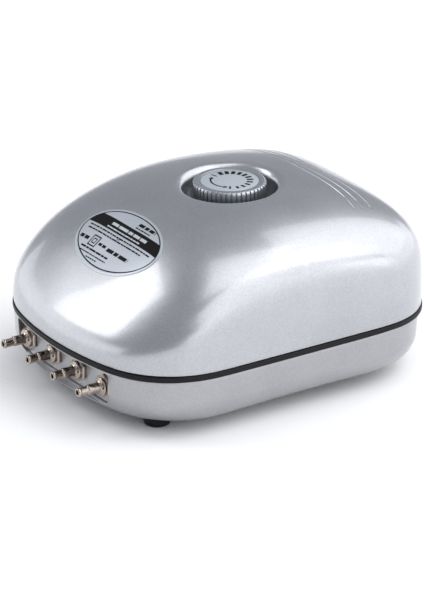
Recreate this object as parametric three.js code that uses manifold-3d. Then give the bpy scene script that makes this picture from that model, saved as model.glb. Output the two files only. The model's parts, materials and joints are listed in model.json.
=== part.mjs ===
// Four-outlet electromagnetic air pump for aquariums and ponds.
// Millimetres, +Z up. The origin is the bottom centre, on the surface the rubber feet stand on.
// The brass air nozzles face -Y, the cable gland faces +Y, and the pump is the same left and right.
// The parts below are measured from the middle of the case, and CASE_Y then moves them back,
// because the nozzles stand out further in front than anything does behind.
import * as THREE from "three";
import { mergeVertices } from "three/addons/utils/BufferGeometryUtils.js";
import Module from "manifold-3d";

const wasm = await Module();
wasm.setup();

// ---------------------------------------------------------------- driving dimensions

const GAP = 0.3; // kept between pieces that touch on the real pump
const PLAN_STEPS = 48; // facets round the case
const OUTSIDE = 110; // a place beyond the whole pump, where cutters start or end
const CASE_Y = 3.8; // how far the middle of the case lies behind the origin

// Plan of the case, measured over the rubber band.
const LENGTH = 192;
const WIDTH = 157.2;
const FRONT_RADIUS = 182.4;
const SIDE_RADIUS = 2852;
const REAR_RADIUS = 294.9;
const FRONT_CORNER = 44.9;
const REAR_CORNER = 38.5;
const WIDEST_Y = 36.9;
const PLAN_CENTRE_Y = 5; // the point that the case's radial facets start from

// Heights of the case.
const FOOT_HEIGHT = 6;
const PARTING_Z = 33; // middle of the rubber band
const BAND_HEIGHT = 2.7;
const BAND_LOW = PARTING_Z - BAND_HEIGHT / 2;
const BAND_HIGH = PARTING_Z + BAND_HEIGHT / 2;

// Cover: a painted dome whose crown slopes down to the front and falls off to both sides.
const COVER_INSET = 0.4;
const COVER_WALL = 2.6;
const CROWN_Z = 96.5;
const CROWN_SLOPE = 6.1;
const CROWN_BOW = -26.6;
const CROWN_SKEW = 13.7;
const CROWN_SIDE_FALL = 11.6;
const CROWN_LENGTH_UNIT = 100; // the crown's slope, bow and skew are for y measured in this unit
const CROWN_WIDTH_UNIT = 70; // and its side fall for x in this one
const SHOULDER_FRONT = 3.2; // exponents of the shoulder curve: a larger one gives a tighter bend
const SHOULDER_SIDE = 7.8;
const SHOULDER_REAR = 3.9;

// Tray: the lower half of the case.
const TRAY_INSET = 0.5;
const TRAY_REAR_INSET = 1.7; // the tray's rear wall stands this much further in
const TRAY_WALL = 2.4;
const TRAY_FILLET = 14;
const TRAY_LEAN = 0.6; // how far the upright side leans in from its top to the fillet
const TRAY_FLOOR = FOOT_HEIGHT + 2.6;
const TRAY_TOP = BAND_LOW - GAP;

// Feet, and the posts and screws above them.
const FOOT_X = 47;
const FOOT_FRONT_Y = -65;
const FOOT_REAR_Y = 62;
const FOOT_TOP_RADIUS = 7.4;
const FOOT_BOTTOM_RADIUS = 6.5;
const FOOT_BORE_RADIUS = 2.6;
const FOOT_EDGE = 0.6;
const POST_RADIUS = 4.5;
const POST_SPLIT_Z = 38; // where the tray's posts meet the cover's posts
const SCREW_RADIUS = 1.5;
const SCREW_HEAD_RADIUS = 3.1;
const SCREW_HEAD_LOW = 6.3;
const SCREW_HEAD_HIGH = 8.2;
const SCREW_TOP = 54;

// Control knob in its round well.
const KNOB_Y = 9.7;
const KNOB_RADIUS = 18.6;
const KNOB_TOP = 96.3;
const KNOB_BOTTOM = 80.5;
const KNOB_RIBS = 46;
const RIB_DEPTH = 0.6;
const WELL_RADIUS = 24.5;
const WELL_WALL = 2.6;
const WELL_FLOOR = 79;
const DISC_RADIUS = 14.7;
const SHAFT_RADIUS = 3;
const SHAFT_LOW = 66;
const SHAFT_TOP = 91.5;
const BUSH_RADIUS = 4.4; // threaded bush of the potentiometer, through the floor of the well
const BOARD_TOP = 62.7;
const BOARD_THICKNESS = 1.6;
const BOARD_HALF_WIDTH = 26;
const BOARD_HALF_DEPTH = 24;
const BOARD_Y = 10;
const BOARD_POST_X = 21;
const BOARD_POST_RADIUS = 2.8;
const BOARD_PIN_RADIUS = 1.2;

// Oval name label on the sloping front of the cover.
const LABEL_HALF_LENGTH = 32;
const LABEL_HALF_DEPTH = 16.3; // in plan, on a face that leans back by about 31 degrees
const LABEL_Y = -57;
const LABEL_THICKNESS = 0.35;

// Outlet recess, its panel, and the brass nozzles.
const RECESS_HALF = 42;
const RECESS_LOW = 12.2;
const RECESS_HIGH = 30.2;
const RECESS_CORNER_LOW = 8;
const RECESS_CORNER_HIGH = 2;
const PANEL_FRONT_Y = -87.2;
const PANEL_THICKNESS = 1.2;
const RECESS_BACK_Y = PANEL_FRONT_Y + PANEL_THICKNESS + GAP;
const RECESS_BLOCK_REAR_Y = -83.2; // the tray's front is solid down to here, round the recess
const RECESS_BLOCK_MARGIN = 2.5;
const NOZZLE_PITCH = 23.3;
const NOZZLE_Z = 21.3;
const NOZZLE_REACH = 16.4; // from the panel to the tip
const NOZZLE_TAIL_RADIUS = 2.9;
const NOZZLE_HOLE_RADIUS = 3.2;
const NOZZLE_XS = [-1.5, -0.5, 0.5, 1.5].map((n) => n * NOZZLE_PITCH);

// Manifold behind the panel.
const MANIFOLD_HALF = 40;
const MANIFOLD_FRONT_Y = -82.8;
const MANIFOLD_REAR_Y = -69.5;
const MANIFOLD_PORT_Y = -75;
const MANIFOLD_HALF_HEIGHT = 7.5;
const AIRWAY_RADIUS = 1.4; // bore of the spigots that the hoses are pushed over

// Pump works: one right-hand set, mirrored to the left.
const WORKS_Z = 35; // height of the magnet poles, arms and diaphragms
const PLATE_LOW = 13.4;
const PLATE_HIGH = 15;
const PLATE_HALF_WIDTH = 60;
const PLATE_FRONT_Y = -58;
const PLATE_REAR_Y = 54;
const BUSH_NECK_RADIUS = 2.6; // neck of the isolation bushes that hold the plate
const SEAT_Z = PLATE_HIGH + GAP;
const CORE_Y = 26;
const CORE_STACK = 18;
const CORE_HALF_LENGTH = 24;
const CORE_HALF_BACK = 6; // half thickness of the core's back, and of its middle limb
const END_LIMB = 7;
const POLE_X = 27;
const ARM_X = 37.05;
const ARM_THICKNESS = 2.5;
const ARM_END_Y = 44;
const ARM_HALF_HEIGHT = 5;
const PIVOT_Y = -50;
const PIN_RADIUS = 2;
const DIAPHRAGM_Y = -14;
const RIM_RADIUS = 13.2; // where the diaphragm's thick rim begins
const CHAMBER_X = 45.9;
const CHAMBER_BACK_X = 62;
const CHAMBER_HALF_LENGTH = 20;
const SPIGOT_RADIUS = 2.5;
const SPIGOT_X = 58;

// Cable gland in the rear wall and intake filter in the floor.
const GLAND_Z = 22.5;
const GLAND_BORE_RADIUS = 3.6;
const GLAND_NECK_RADIUS = 5.3;
const FILTER_Y = -25;
const FILTER_RADIUS = 16;

// ---------------------------------------------------------------- materials

const finish = (color, roughness, metalness) =>
  new THREE.MeshStandardMaterial({ color, roughness, metalness });
const silverPaint = finish(0xa9abb3, 0.35, 0.6);
const trayPaint = finish(0xb9b9be, 0.35, 0.6);
const blackRubber = finish(0x1c1b20, 0.7, 0);
const labelFilm = finish(0xc8ced6, 0.3, 0.4);
const nickelBrass = finish(0xb9ada0, 0.2, 1);
const steel = finish(0x9a9ca0, 0.4, 1);
const lamination = finish(0x4a4c52, 0.5, 0.8);
const copper = finish(0xa8562c, 0.4, 0.9);
const nylon = finish(0xe4e0d4, 0.6, 0);
const circuitBoard = finish(0x2f6b3f, 0.5, 0);
const chamberPlastic = finish(0x33353a, 0.5, 0);
const silicone = finish(0xd8dcdc, 0.4, 0);
const ferrite = finish(0x3a3a3d, 0.6, 0.3);
const aluminium = finish(0xb4b6ba, 0.4, 1);
const felt = finish(0xece9df, 1, 0);

// ---------------------------------------------------------------- solids from three.js geometry

// A closed geometry as a solid that can be joined and cut.
function solid(geometry) {
  const bare = new THREE.BufferGeometry();
  bare.setAttribute("position", geometry.getAttribute("position"));
  bare.setIndex(geometry.index);
  const welded = mergeVertices(bare, 1e-4);
  const corners = welded.index.array;
  const kept = [];
  for (let i = 0; i < corners.length; i += 3) {
    const [a, b, c] = corners.slice(i, i + 3);
    if (a !== b && b !== c && c !== a) kept.push(a, b, c);
  }
  return new wasm.Manifold(
    new wasm.Mesh({
      numProp: 3,
      vertProperties: welded.attributes.position.array,
      triVerts: new Uint32Array(kept),
    }),
  );
}

function geometryOf(manifold) {
  const mesh = manifold.getMesh();
  const geometry = new THREE.BufferGeometry();
  geometry.setAttribute("position", new THREE.BufferAttribute(mesh.vertProperties, 3));
  geometry.setIndex(new THREE.BufferAttribute(mesh.triVerts, 1));
  geometry.computeVertexNormals();
  return geometry;
}

// A block between two corners.
function block([x0, y0, z0], [x1, y1, z1]) {
  const geometry = new THREE.BoxGeometry(x1 - x0, y1 - y0, z1 - z0);
  geometry.translate((x0 + x1) / 2, (y0 + y1) / 2, (z0 + z1) / 2);
  return solid(geometry);
}

// Turns a geometry made round Y so that its axis is X, Y or Z.
function alongAxis(geometry, axis) {
  if (axis === "x") geometry.rotateZ(-Math.PI / 2);
  if (axis === "z") geometry.rotateX(Math.PI / 2);
  return geometry;
}

// A round bar along an axis, from start to end on that axis, through the two other coordinates.
function bar(axis, radius, start, end, centre, sides = 12) {
  const geometry = new THREE.CylinderGeometry(radius, radius, end - start, sides);
  geometry.translate(0, (start + end) / 2, 0);
  alongAxis(geometry, axis);
  return solid(placed(geometry, axis, centre));
}

// A turned piece: its profile is a list of [radius, place on the axis].
function turned(axis, profile, centre, sides = 12) {
  const points = profile.map(([radius, along]) => new THREE.Vector2(radius, along));
  const geometry = alongAxis(new THREE.LatheGeometry(points, sides), axis);
  return solid(placed(geometry, axis, centre));
}

function placed(geometry, axis, [first, second]) {
  if (axis === "x") geometry.translate(0, first, second);
  if (axis === "y") geometry.translate(first, 0, second);
  if (axis === "z") geometry.translate(first, second, 0);
  return geometry;
}

const closed = (profile) => [...profile, profile[0]];

// ---------------------------------------------------------------- plan of the case

// Centre of the corner arc that touches two larger arcs from the inside.
function cornerCentre(first, second, radius) {
  const a = first.radius - radius;
  const b = second.radius - radius;
  const between = second.centre.clone().sub(first.centre);
  const apart = between.length();
  const along = (a * a - b * b + apart * apart) / (2 * apart);
  const aside = Math.sqrt(a * a - along * along);
  between.normalize();
  const side = new THREE.Vector2(-between.y, between.x).multiplyScalar(aside);
  const foot = first.centre.clone().addScaledVector(between, along);
  const options = [foot.clone().add(side), foot.clone().sub(side)];
  return options[0].x > options[1].x ? options[0] : options[1];
}

const frontArc = { centre: new THREE.Vector2(0, FRONT_RADIUS - LENGTH / 2), radius: FRONT_RADIUS };
const sideArc = { centre: new THREE.Vector2(WIDTH / 2 - SIDE_RADIUS, WIDEST_Y), radius: SIDE_RADIUS };
const rearArc = { centre: new THREE.Vector2(0, LENGTH / 2 - REAR_RADIUS), radius: REAR_RADIUS };
const frontCorner = {
  centre: cornerCentre(frontArc, sideArc, FRONT_CORNER),
  radius: FRONT_CORNER,
};
const rearCorner = { centre: cornerCentre(sideArc, rearArc, REAR_CORNER), radius: REAR_CORNER };

// Direction, from the plan's centre, of the point where a corner arc runs into a larger arc.
function meetingAngle(large, corner) {
  const out = corner.centre.clone().sub(large.centre).setLength(large.radius).add(large.centre);
  return Math.atan2(out.y - PLAN_CENTRE_Y, out.x);
}

const PLAN_ARCS = [
  { arc: frontArc, upTo: meetingAngle(frontArc, frontCorner) },
  { arc: frontCorner, upTo: meetingAngle(sideArc, frontCorner) },
  { arc: sideArc, upTo: meetingAngle(sideArc, rearCorner) },
  { arc: rearCorner, upTo: meetingAngle(rearArc, rearCorner) },
  { arc: rearArc, upTo: Math.PI },
];

// Distance from the plan's centre to the outline, in a direction given by its angle from +X.
function planRadius(angle) {
  const direction = new THREE.Vector2(Math.abs(Math.cos(angle)), Math.sin(angle));
  const folded = Math.atan2(direction.y, direction.x);
  const { arc } = PLAN_ARCS.find(({ upTo }) => folded <= upTo);
  const toCentre = arc.centre.clone().sub(new THREE.Vector2(0, PLAN_CENTRE_Y));
  const along = toCentre.dot(direction);
  return along + Math.sqrt(arc.radius ** 2 - toCentre.lengthSq() + along ** 2);
}

// Moves a turned solid of radius 1 onto the plan. place(share, row, angle) returns how far out
// and how high a point goes that lies share of the way out, on the profile's row.
function onPlan(points, place) {
  const profile = points.map(([share, row]) => new THREE.Vector2(share, row));
  const geometry = alongAxis(new THREE.LatheGeometry(profile, PLAN_STEPS), "z");
  const position = geometry.attributes.position;
  for (let i = 0; i < position.count; i++) {
    const share = Math.hypot(position.getX(i), position.getY(i));
    const angle = Math.atan2(position.getY(i), position.getX(i));
    const { out, height } = place(share, Math.round(position.getZ(i)), angle);
    const y = PLAN_CENTRE_Y + out * Math.sin(angle);
    position.setXYZ(i, out * Math.cos(angle), y, height(out * Math.cos(angle), y));
  }
  return solid(geometry);
}

// A wall's rear inset fades in between these sines of the angle from +X.
const REAR_FADE = [0.3, 0.9];

// A solid with flat ends whose wall follows the plan: each row is [inset, height].
function planSolid(rows, rearInset = 0) {
  const last = rows.length - 1;
  const points = [[0, 0], ...rows.map((_, row) => [1, row]), [0, last]];
  return onPlan(points, (share, row, angle) => {
    const rear = THREE.MathUtils.smoothstep(Math.sin(angle), ...REAR_FADE) * rearInset;
    return {
      out: share * (planRadius(angle) - rows[row][0] - rear),
      height: () => rows[row][1],
    };
  });
}

// Height of the cover's surface above a point of the plan, for an inset wall and a lowered crown.
function domeHeight(x, y, inset = COVER_INSET, drop = 0) {
  const angle = Math.atan2(y - PLAN_CENTRE_Y, x);
  const share = Math.min(Math.hypot(x, y - PLAN_CENTRE_Y) / (planRadius(angle) - inset), 1);
  const along = y / CROWN_LENGTH_UNIT;
  const across = x / CROWN_WIDTH_UNIT;
  const crown =
    CROWN_Z + CROWN_SLOPE * along + CROWN_BOW * along ** 2 + CROWN_SKEW * along ** 3 -
    CROWN_SIDE_FALL * across ** 2 - drop;
  const end = angle < 0 ? SHOULDER_FRONT : SHOULDER_REAR;
  const power = SHOULDER_SIDE + (end - SHOULDER_SIDE) * Math.sin(angle) ** 2;
  const rise = (1 - share ** power) ** (1 / power);
  return BAND_HIGH + (crown - BAND_HIGH) * rise;
}

// The cover's dome down to a flat floor: shares are its rows from the wall to the crown.
function domeSolid(shares, inset, drop, floor) {
  const points = [[0, 0], [1, 0], ...shares.map((share, i) => [share, i + 1])];
  return onPlan(points, (share, row, angle) => ({
    out: share * (planRadius(angle) - inset),
    height: (x, y) => (row === 0 ? floor : Math.max(domeHeight(x, y, inset, drop), floor)),
  }));
}

// ---------------------------------------------------------------- the assembly

const pump = new THREE.Group();

function part(name, material, shape, group = pump) {
  const mesh = new THREE.Mesh(geometryOf(shape), material);
  mesh.name = name;
  group.add(mesh);
}

// The places of the four feet, with the names of their corners.
const CORNERS = [
  ["front_left", -FOOT_X, FOOT_FRONT_Y],
  ["front_right", FOOT_X, FOOT_FRONT_Y],
  ["rear_left", -FOOT_X, FOOT_REAR_Y],
  ["rear_right", FOOT_X, FOOT_REAR_Y],
];

// Outline of the outlet recess, drawn in X and Z: round low corners and tight high ones.
function recessShape(margin) {
  const half = RECESS_HALF - margin;
  const low = RECESS_LOW + margin;
  const high = RECESS_HIGH - margin;
  const round = RECESS_CORNER_LOW - margin;
  const tight = RECESS_CORNER_HIGH - margin;
  const quarter = Math.PI / 2;
  const shape = new THREE.Shape();
  shape.absarc(half - round, low + round, round, -quarter, 0);
  shape.absarc(half - tight, high - tight, tight, 0, quarter);
  shape.absarc(-half + tight, high - tight, tight, quarter, 2 * quarter);
  shape.absarc(-half + round, low + round, round, 2 * quarter, 3 * quarter);
  return shape;
}

// The recess outline as a solid between two places on Y.
function recessSolid(margin, from, to) {
  const geometry = new THREE.ExtrudeGeometry(recessShape(margin), {
    depth: to - from,
    bevelEnabled: false,
    curveSegments: 4,
  });
  geometry.rotateX(Math.PI / 2);
  geometry.translate(0, to, 0);
  return solid(geometry);
}

function topCover() {
  const floor = BAND_HIGH + GAP;
  const outerRows = [1, 0.993, 0.965, 0.92, 0.85, 0.74, 0.6, 0.42, 0.22, 0];
  const innerRows = [1, 0.997, 0.97, 0.89, 0.74, 0.5, 0.25, 0];
  const outer = domeSolid(outerRows, COVER_INSET, 0, floor);
  const inner = domeSolid(innerRows, COVER_INSET + COVER_WALL, COVER_WALL, floor - 2);
  const well = [0, KNOB_Y];
  const cup = bar("z", WELL_RADIUS + WELL_WALL, WELL_FLOOR - WELL_WALL, OUTSIDE, well, 36);
  let cover = outer.subtract(inner).add(cup.intersect(outer));
  for (const [, x, y] of CORNERS) {
    cover = cover.add(bar("z", POST_RADIUS, POST_SPLIT_Z, OUTSIDE, [x, y], 12).intersect(outer));
    cover = cover.subtract(bar("z", SCREW_RADIUS + GAP, BAND_LOW, SCREW_TOP + 2, [x, y], 8));
  }
  for (const x of [-BOARD_POST_X, BOARD_POST_X]) {
    cover = cover
      .add(bar("z", BOARD_POST_RADIUS, BOARD_TOP + GAP, WELL_FLOOR - 1, [x, KNOB_Y], 8))
      .add(bar("z", BOARD_PIN_RADIUS, BOARD_TOP - 3, BOARD_TOP + 1, [x, KNOB_Y], 8));
  }
  return cover
    .subtract(bar("z", WELL_RADIUS, WELL_FLOOR, OUTSIDE, well, 36))
    .subtract(bar("z", BUSH_RADIUS + 0.4, BOARD_TOP, OUTSIDE, well, 16));
}

// L section: the bead that shows between the shells, and a lip that holds the cover's rim.
function coverGasket() {
  const lipInset = COVER_INSET + COVER_WALL + GAP;
  const lipTop = BAND_HIGH + 2.2;
  const innerInset = lipInset + 1.5;
  const bead = planSolid([[0, BAND_LOW], [0, BAND_HIGH]]);
  const lip = planSolid([[lipInset, BAND_LOW], [lipInset, lipTop]]);
  const inside = planSolid([[innerInset, BAND_LOW - 1], [innerInset, lipTop + 1]]);
  return bead.add(lip).subtract(inside);
}

// Rows of the tray's wall: a quarter-round from the floor, then a nearly upright side.
function trayRows(inset, floor, fillet, top) {
  const steps = 3;
  const rows = [];
  for (let i = 0; i <= steps; i++) {
    const turn = ((i / steps) * Math.PI) / 2;
    const drawnIn = TRAY_LEAN + fillet * (1 - Math.sin(turn));
    rows.push([inset + drawnIn, floor + fillet * (1 - Math.cos(turn))]);
  }
  return [...rows, [inset, top]];
}

function baseTray() {
  const outer = planSolid(
    trayRows(TRAY_INSET, FOOT_HEIGHT, TRAY_FILLET, TRAY_TOP),
    TRAY_REAR_INSET,
  );
  const innerFillet = TRAY_FILLET - TRAY_WALL;
  const inner = planSolid(
    trayRows(TRAY_INSET + TRAY_WALL, TRAY_FLOOR, innerFillet, TRAY_TOP + 1),
    TRAY_REAR_INSET,
  );
  const blockHalf = RECESS_HALF + RECESS_BLOCK_MARGIN;
  const frontBlock = block([-blockHalf, -OUTSIDE, 0], [blockHalf, RECESS_BLOCK_REAR_Y, TRAY_TOP]);
  let tray = outer.subtract(inner).add(outer.intersect(frontBlock));
  tray = tray.subtract(recessSolid(0, -OUTSIDE, RECESS_BACK_Y));
  for (const x of NOZZLE_XS)
    tray = tray.subtract(bar("y", NOZZLE_HOLE_RADIUS, -OUTSIDE, MANIFOLD_REAR_Y, [x, NOZZLE_Z], 12));
  for (const [, x, y] of CORNERS) {
    tray = tray
      .add(bar("z", POST_RADIUS, FOOT_HEIGHT + 1, POST_SPLIT_Z - GAP, [x, y], 12))
      .subtract(bar("z", SCREW_RADIUS + GAP, 0, SCREW_TOP, [x, y], 8))
      .subtract(bar("z", SCREW_HEAD_RADIUS + GAP, 0, TRAY_FLOOR, [x, y], 12));
  }
  return tray
    .subtract(bar("y", GLAND_NECK_RADIUS + 0.4, 80, OUTSIDE, [0, GLAND_Z], 20))
    .subtract(bar("z", FILTER_RADIUS, 0, TRAY_FLOOR + 1, [0, FILTER_Y], 24));
}

part("top_cover", silverPaint, topCover());
part("cover_gasket", blackRubber, coverGasket());
part("base_tray", trayPaint, baseTray());

for (const [corner, x, y] of CORNERS) {
  const top = FOOT_HEIGHT - GAP;
  const footProfile = [[FOOT_BORE_RADIUS, 0], [FOOT_BOTTOM_RADIUS - FOOT_EDGE, 0],
    [FOOT_BOTTOM_RADIUS, FOOT_EDGE], [FOOT_TOP_RADIUS, top], [FOOT_BORE_RADIUS, top]];
  part("foot_" + corner, blackRubber, turned("z", closed(footProfile), [x, y], 16));
  const screwProfile = [[0, SCREW_HEAD_LOW], [SCREW_HEAD_RADIUS, SCREW_HEAD_LOW],
    [SCREW_HEAD_RADIUS, SCREW_HEAD_HIGH], [SCREW_RADIUS, SCREW_HEAD_HIGH],
    [SCREW_RADIUS, SCREW_TOP - 2], [0, SCREW_TOP]];
  part("base_screw_" + corner, steel, turned("z", screwProfile, [x, y], 8));
}

// ---- name label: a thin oval film that follows the cover

function nameLabel() {
  const rings = [0.5, 1];
  const profile = [[0, -1], ...rings.map((r) => [r, -1]), ...rings.toReversed().map((r) => [r, 1]),
    [0, 1]].map(([r, side]) => new THREE.Vector2(r, side));
  const geometry = alongAxis(new THREE.LatheGeometry(profile, 24), "z");
  const position = geometry.attributes.position;
  for (let i = 0; i < position.count; i++) {
    const x = position.getX(i) * LABEL_HALF_LENGTH;
    const y = LABEL_Y + position.getY(i) * LABEL_HALF_DEPTH;
    const lift = GAP + (position.getZ(i) > 0 ? LABEL_THICKNESS : 0);
    position.setXYZ(i, x, y, domeHeight(x, y) + lift);
  }
  return solid(geometry);
}

part("name_label", labelFilm, nameLabel());

// ---- control knob, its disc and the control under it

function controlKnob() {
  const shape = new THREE.Shape();
  const chamfer = 0.5;
  const discRecess = 0.9;
  for (let rib = 0; rib < KNOB_RIBS; rib++) {
    // Each rib is a valley, a steep flank and a crest: [share of the rib's width, depth].
    const corners = [[0, RIB_DEPTH], [0.25, RIB_DEPTH], [0.4, 0], [0.85, 0]];
    for (const [turn, depth] of corners) {
      const angle = ((rib + turn) / KNOB_RIBS) * 2 * Math.PI;
      const radius = KNOB_RADIUS - depth;
      const [x, y] = [radius * Math.cos(angle), radius * Math.sin(angle)];
      if (rib === 0 && turn === 0) shape.moveTo(x, y);
      else shape.lineTo(x, y);
    }
  }
  const height = KNOB_TOP - chamfer - KNOB_BOTTOM;
  const ribs = new THREE.ExtrudeGeometry(shape, { depth: height, bevelEnabled: false });
  ribs.translate(0, KNOB_Y, KNOB_BOTTOM);
  return solid(ribs)
    .add(bar("z", KNOB_RADIUS - RIB_DEPTH - 0.1, KNOB_TOP - 2, KNOB_TOP, [0, KNOB_Y], 36))
    .subtract(bar("z", DISC_RADIUS + GAP, KNOB_TOP - discRecess, KNOB_TOP + 1, [0, KNOB_Y], 36))
    .subtract(bar("z", SHAFT_RADIUS + GAP, KNOB_BOTTOM - 1, SHAFT_TOP + GAP, [0, KNOB_Y], 16));
}

// Round shaft with a flat on its upper end, which the knob is pushed over.
function controlShaft() {
  const flatX = SHAFT_RADIUS - 1;
  const flatLow = 82;
  const flat = block([flatX, KNOB_Y - 4, flatLow], [flatX + 2, KNOB_Y + 4, SHAFT_TOP + 1]);
  return bar("z", SHAFT_RADIUS, SHAFT_LOW, SHAFT_TOP, [0, KNOB_Y], 24).subtract(flat);
}

// Round can on the board, with a threaded bush that stands through the floor of the well.
function potentiometer() {
  const canRadius = 8;
  const canTop = 72;
  const bushTop = WELL_FLOOR + 0.8;
  return bar("z", canRadius, BOARD_TOP + GAP, canTop, [0, KNOB_Y], 24)
    .add(bar("z", BUSH_RADIUS, canTop - 1, bushTop, [0, KNOB_Y], 20))
    .subtract(bar("z", SHAFT_RADIUS + 0.1, SHAFT_LOW - 1, bushTop + 1, [0, KNOB_Y], 24));
}

function controlBoard() {
  const [front, rear] = [BOARD_Y - BOARD_HALF_DEPTH, BOARD_Y + BOARD_HALF_DEPTH];
  const low = BOARD_TOP - BOARD_THICKNESS;
  let board = block([-BOARD_HALF_WIDTH, front, low], [BOARD_HALF_WIDTH, rear, BOARD_TOP]);
  for (const x of [-BOARD_POST_X, BOARD_POST_X]) {
    const hole = bar("z", BOARD_PIN_RADIUS + GAP, low - 1, BOARD_TOP + 1, [x, KNOB_Y], 12);
    board = board.subtract(hole);
  }
  return board;
}

const discTop = KNOB_TOP - 0.1;
const discThickness = 0.5;
const knobDisc = bar("z", DISC_RADIUS, discTop - discThickness, discTop, [0, KNOB_Y], 36);

part("control_knob", silverPaint, controlKnob());
part("knob_disc", labelFilm, knobDisc);
part("control_shaft", aluminium, controlShaft());
part("potentiometer", steel, potentiometer());
part("control_board", circuitBoard, controlBoard());
part("board_capacitor", nylon, block([-9, 20.5, BOARD_TOP + GAP], [9, 29.5, 73]));

// ---- outlet panel, nozzles and manifold

function outletPanel() {
  let panel = recessSolid(GAP, PANEL_FRONT_Y, PANEL_FRONT_Y + PANEL_THICKNESS);
  for (const x of NOZZLE_XS)
    panel = panel.subtract(bar("y", NOZZLE_HOLE_RADIUS, -OUTSIDE, MANIFOLD_REAR_Y, [x, NOZZLE_Z], 12));
  return panel;
}

// Hexagon, rounded collar, and a stepped tube that a 4 mm airline is pushed over. Each step is
// [radius, distance behind the panel's face], from the tail in the manifold out to the tip.
function outletNozzle(x) {
  const bore = 1.2;
  const hexagonRadius = 6.5;
  const hexagonFront = PANEL_FRONT_Y - 2.2;
  const steps = [[bore, 11], [NOZZLE_TAIL_RADIUS, 11], [NOZZLE_TAIL_RADIUS, -1], [4.7, -1],
    [4.7, -3.1], [3.9, -3.6], [2.55, -4.1], [2.55, -10.4], [2.15, -11], [2.15, -15],
    [2.3, -15.5], [1.9, -NOZZLE_REACH], [bore, -NOZZLE_REACH]];
  const profile = steps.map(([radius, s]) => [radius, PANEL_FRONT_Y + s]);
  const hexagon = bar("y", hexagonRadius, hexagonFront, PANEL_FRONT_Y - 0.1, [x, NOZZLE_Z], 6);
  return turned("y", closed(profile.toReversed()), [x, NOZZLE_Z], 14)
    .add(hexagon)
    .subtract(bar("y", bore, -OUTSIDE, MANIFOLD_REAR_Y, [x, NOZZLE_Z], 14));
}

// Block with one long chamber, which the four nozzles open into, and a spigot at each end.
function airManifold() {
  const z = NOZZLE_Z;
  const port = [MANIFOLD_PORT_Y, z];
  const chamberRadius = 4;
  const chamberEnd = MANIFOLD_HALF - 3;
  const spigotEnd = MANIFOLD_HALF + 6;
  let body = block(
    [-MANIFOLD_HALF, MANIFOLD_FRONT_Y, z - MANIFOLD_HALF_HEIGHT],
    [MANIFOLD_HALF, MANIFOLD_REAR_Y, z + MANIFOLD_HALF_HEIGHT],
  );
  body = body
    .add(bar("x", SPIGOT_RADIUS, -spigotEnd, spigotEnd, port, 10))
    .subtract(bar("x", chamberRadius, -chamberEnd, chamberEnd, port, 10))
    .subtract(bar("x", AIRWAY_RADIUS, -spigotEnd - 1, spigotEnd + 1, port, 8));
  for (const x of NOZZLE_XS)
    body = body.subtract(bar("y", NOZZLE_HOLE_RADIUS, -OUTSIDE, MANIFOLD_PORT_Y, [x, z], 12));
  return body;
}

part("outlet_panel", trayPaint, outletPanel());
NOZZLE_XS.forEach((x, i) => part("outlet_nozzle_" + (i + 1), nickelBrass, outletNozzle(x)));
part("air_manifold", chamberPlastic, airManifold());

// ---- pump works on their sprung plate

const BUSHES = [
  ["front_left", -52, -42],
  ["front_right", 52, -42],
  ["rear_left", -52, 40],
  ["rear_right", 52, 40],
];

// Steel plate with four holes for the bushes and a large one over the intake filter.
function pumpPlate() {
  const intakeRadius = 14;
  let plate = block(
    [-PLATE_HALF_WIDTH, PLATE_FRONT_Y, PLATE_LOW],
    [PLATE_HALF_WIDTH, PLATE_REAR_Y, PLATE_HIGH],
  );
  plate = plate.subtract(bar("z", intakeRadius, 0, OUTSIDE, [0, FILTER_Y], 24));
  for (const [, x, y] of BUSHES)
    plate = plate.subtract(bar("z", BUSH_NECK_RADIUS + GAP, 0, OUTSIDE, [x, y], 12));
  return plate;
}

// Laminations in the shape of two Es set back to back.
function magnetCore() {
  const [low, high] = [WORKS_Z - CORE_STACK / 2, WORKS_Z + CORE_STACK / 2];
  const [front, rear] = [CORE_Y - CORE_HALF_LENGTH, CORE_Y + CORE_HALF_LENGTH];
  const limbs = [
    [front, front + END_LIMB],
    [CORE_Y - CORE_HALF_BACK, CORE_Y + CORE_HALF_BACK],
    [rear - END_LIMB, rear],
  ];
  let core = block([-CORE_HALF_BACK, front, low], [CORE_HALF_BACK, rear, high]);
  for (const [from, to] of limbs) core = core.add(block([-POLE_X, from, low], [POLE_X, to, high]));
  return core;
}

// Bent steel foot of the core: a strip on the plate, with a step up under each end limb.
function coreCradle() {
  const under = WORKS_Z - CORE_STACK / 2 - GAP;
  const [front, rear] = [CORE_Y - CORE_HALF_LENGTH, CORE_Y + CORE_HALF_LENGTH];
  const [stripHalf, stepHalf, stripEnd, stripThickness] = [14, 10, 2, 1.7];
  return block(
    [-stripHalf, front - stripEnd, SEAT_Z],
    [stripHalf, rear + stripEnd, SEAT_Z + stripThickness],
  )
    .add(block([-stepHalf, front, SEAT_Z], [stepHalf, front + END_LIMB, under]))
    .add(block([-stepHalf, rear - END_LIMB, SEAT_Z], [stepHalf, rear, under]));
}

part("pump_plate", steel, pumpPlate());
for (const [corner, x, y] of BUSHES) {
  const [collar, waist, bead] = [4.5, 3.6, 3.6];
  const [foot, shoulder, tip] = [TRAY_FLOOR + GAP, PLATE_LOW - GAP, SEAT_Z + 1.7];
  const profile = [[0, foot], [collar, foot], [waist, (foot + shoulder) / 2], [collar, shoulder],
    [BUSH_NECK_RADIUS, shoulder], [BUSH_NECK_RADIUS, SEAT_Z], [bead, SEAT_Z], [2.8, tip],
    [0, tip]];
  part("isolation_bush_" + corner, blackRubber, turned("z", profile, [x, y], 10));
}
part("magnet_core", lamination, magnetCore());
part("core_cradle", steel, coreCradle());

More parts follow.
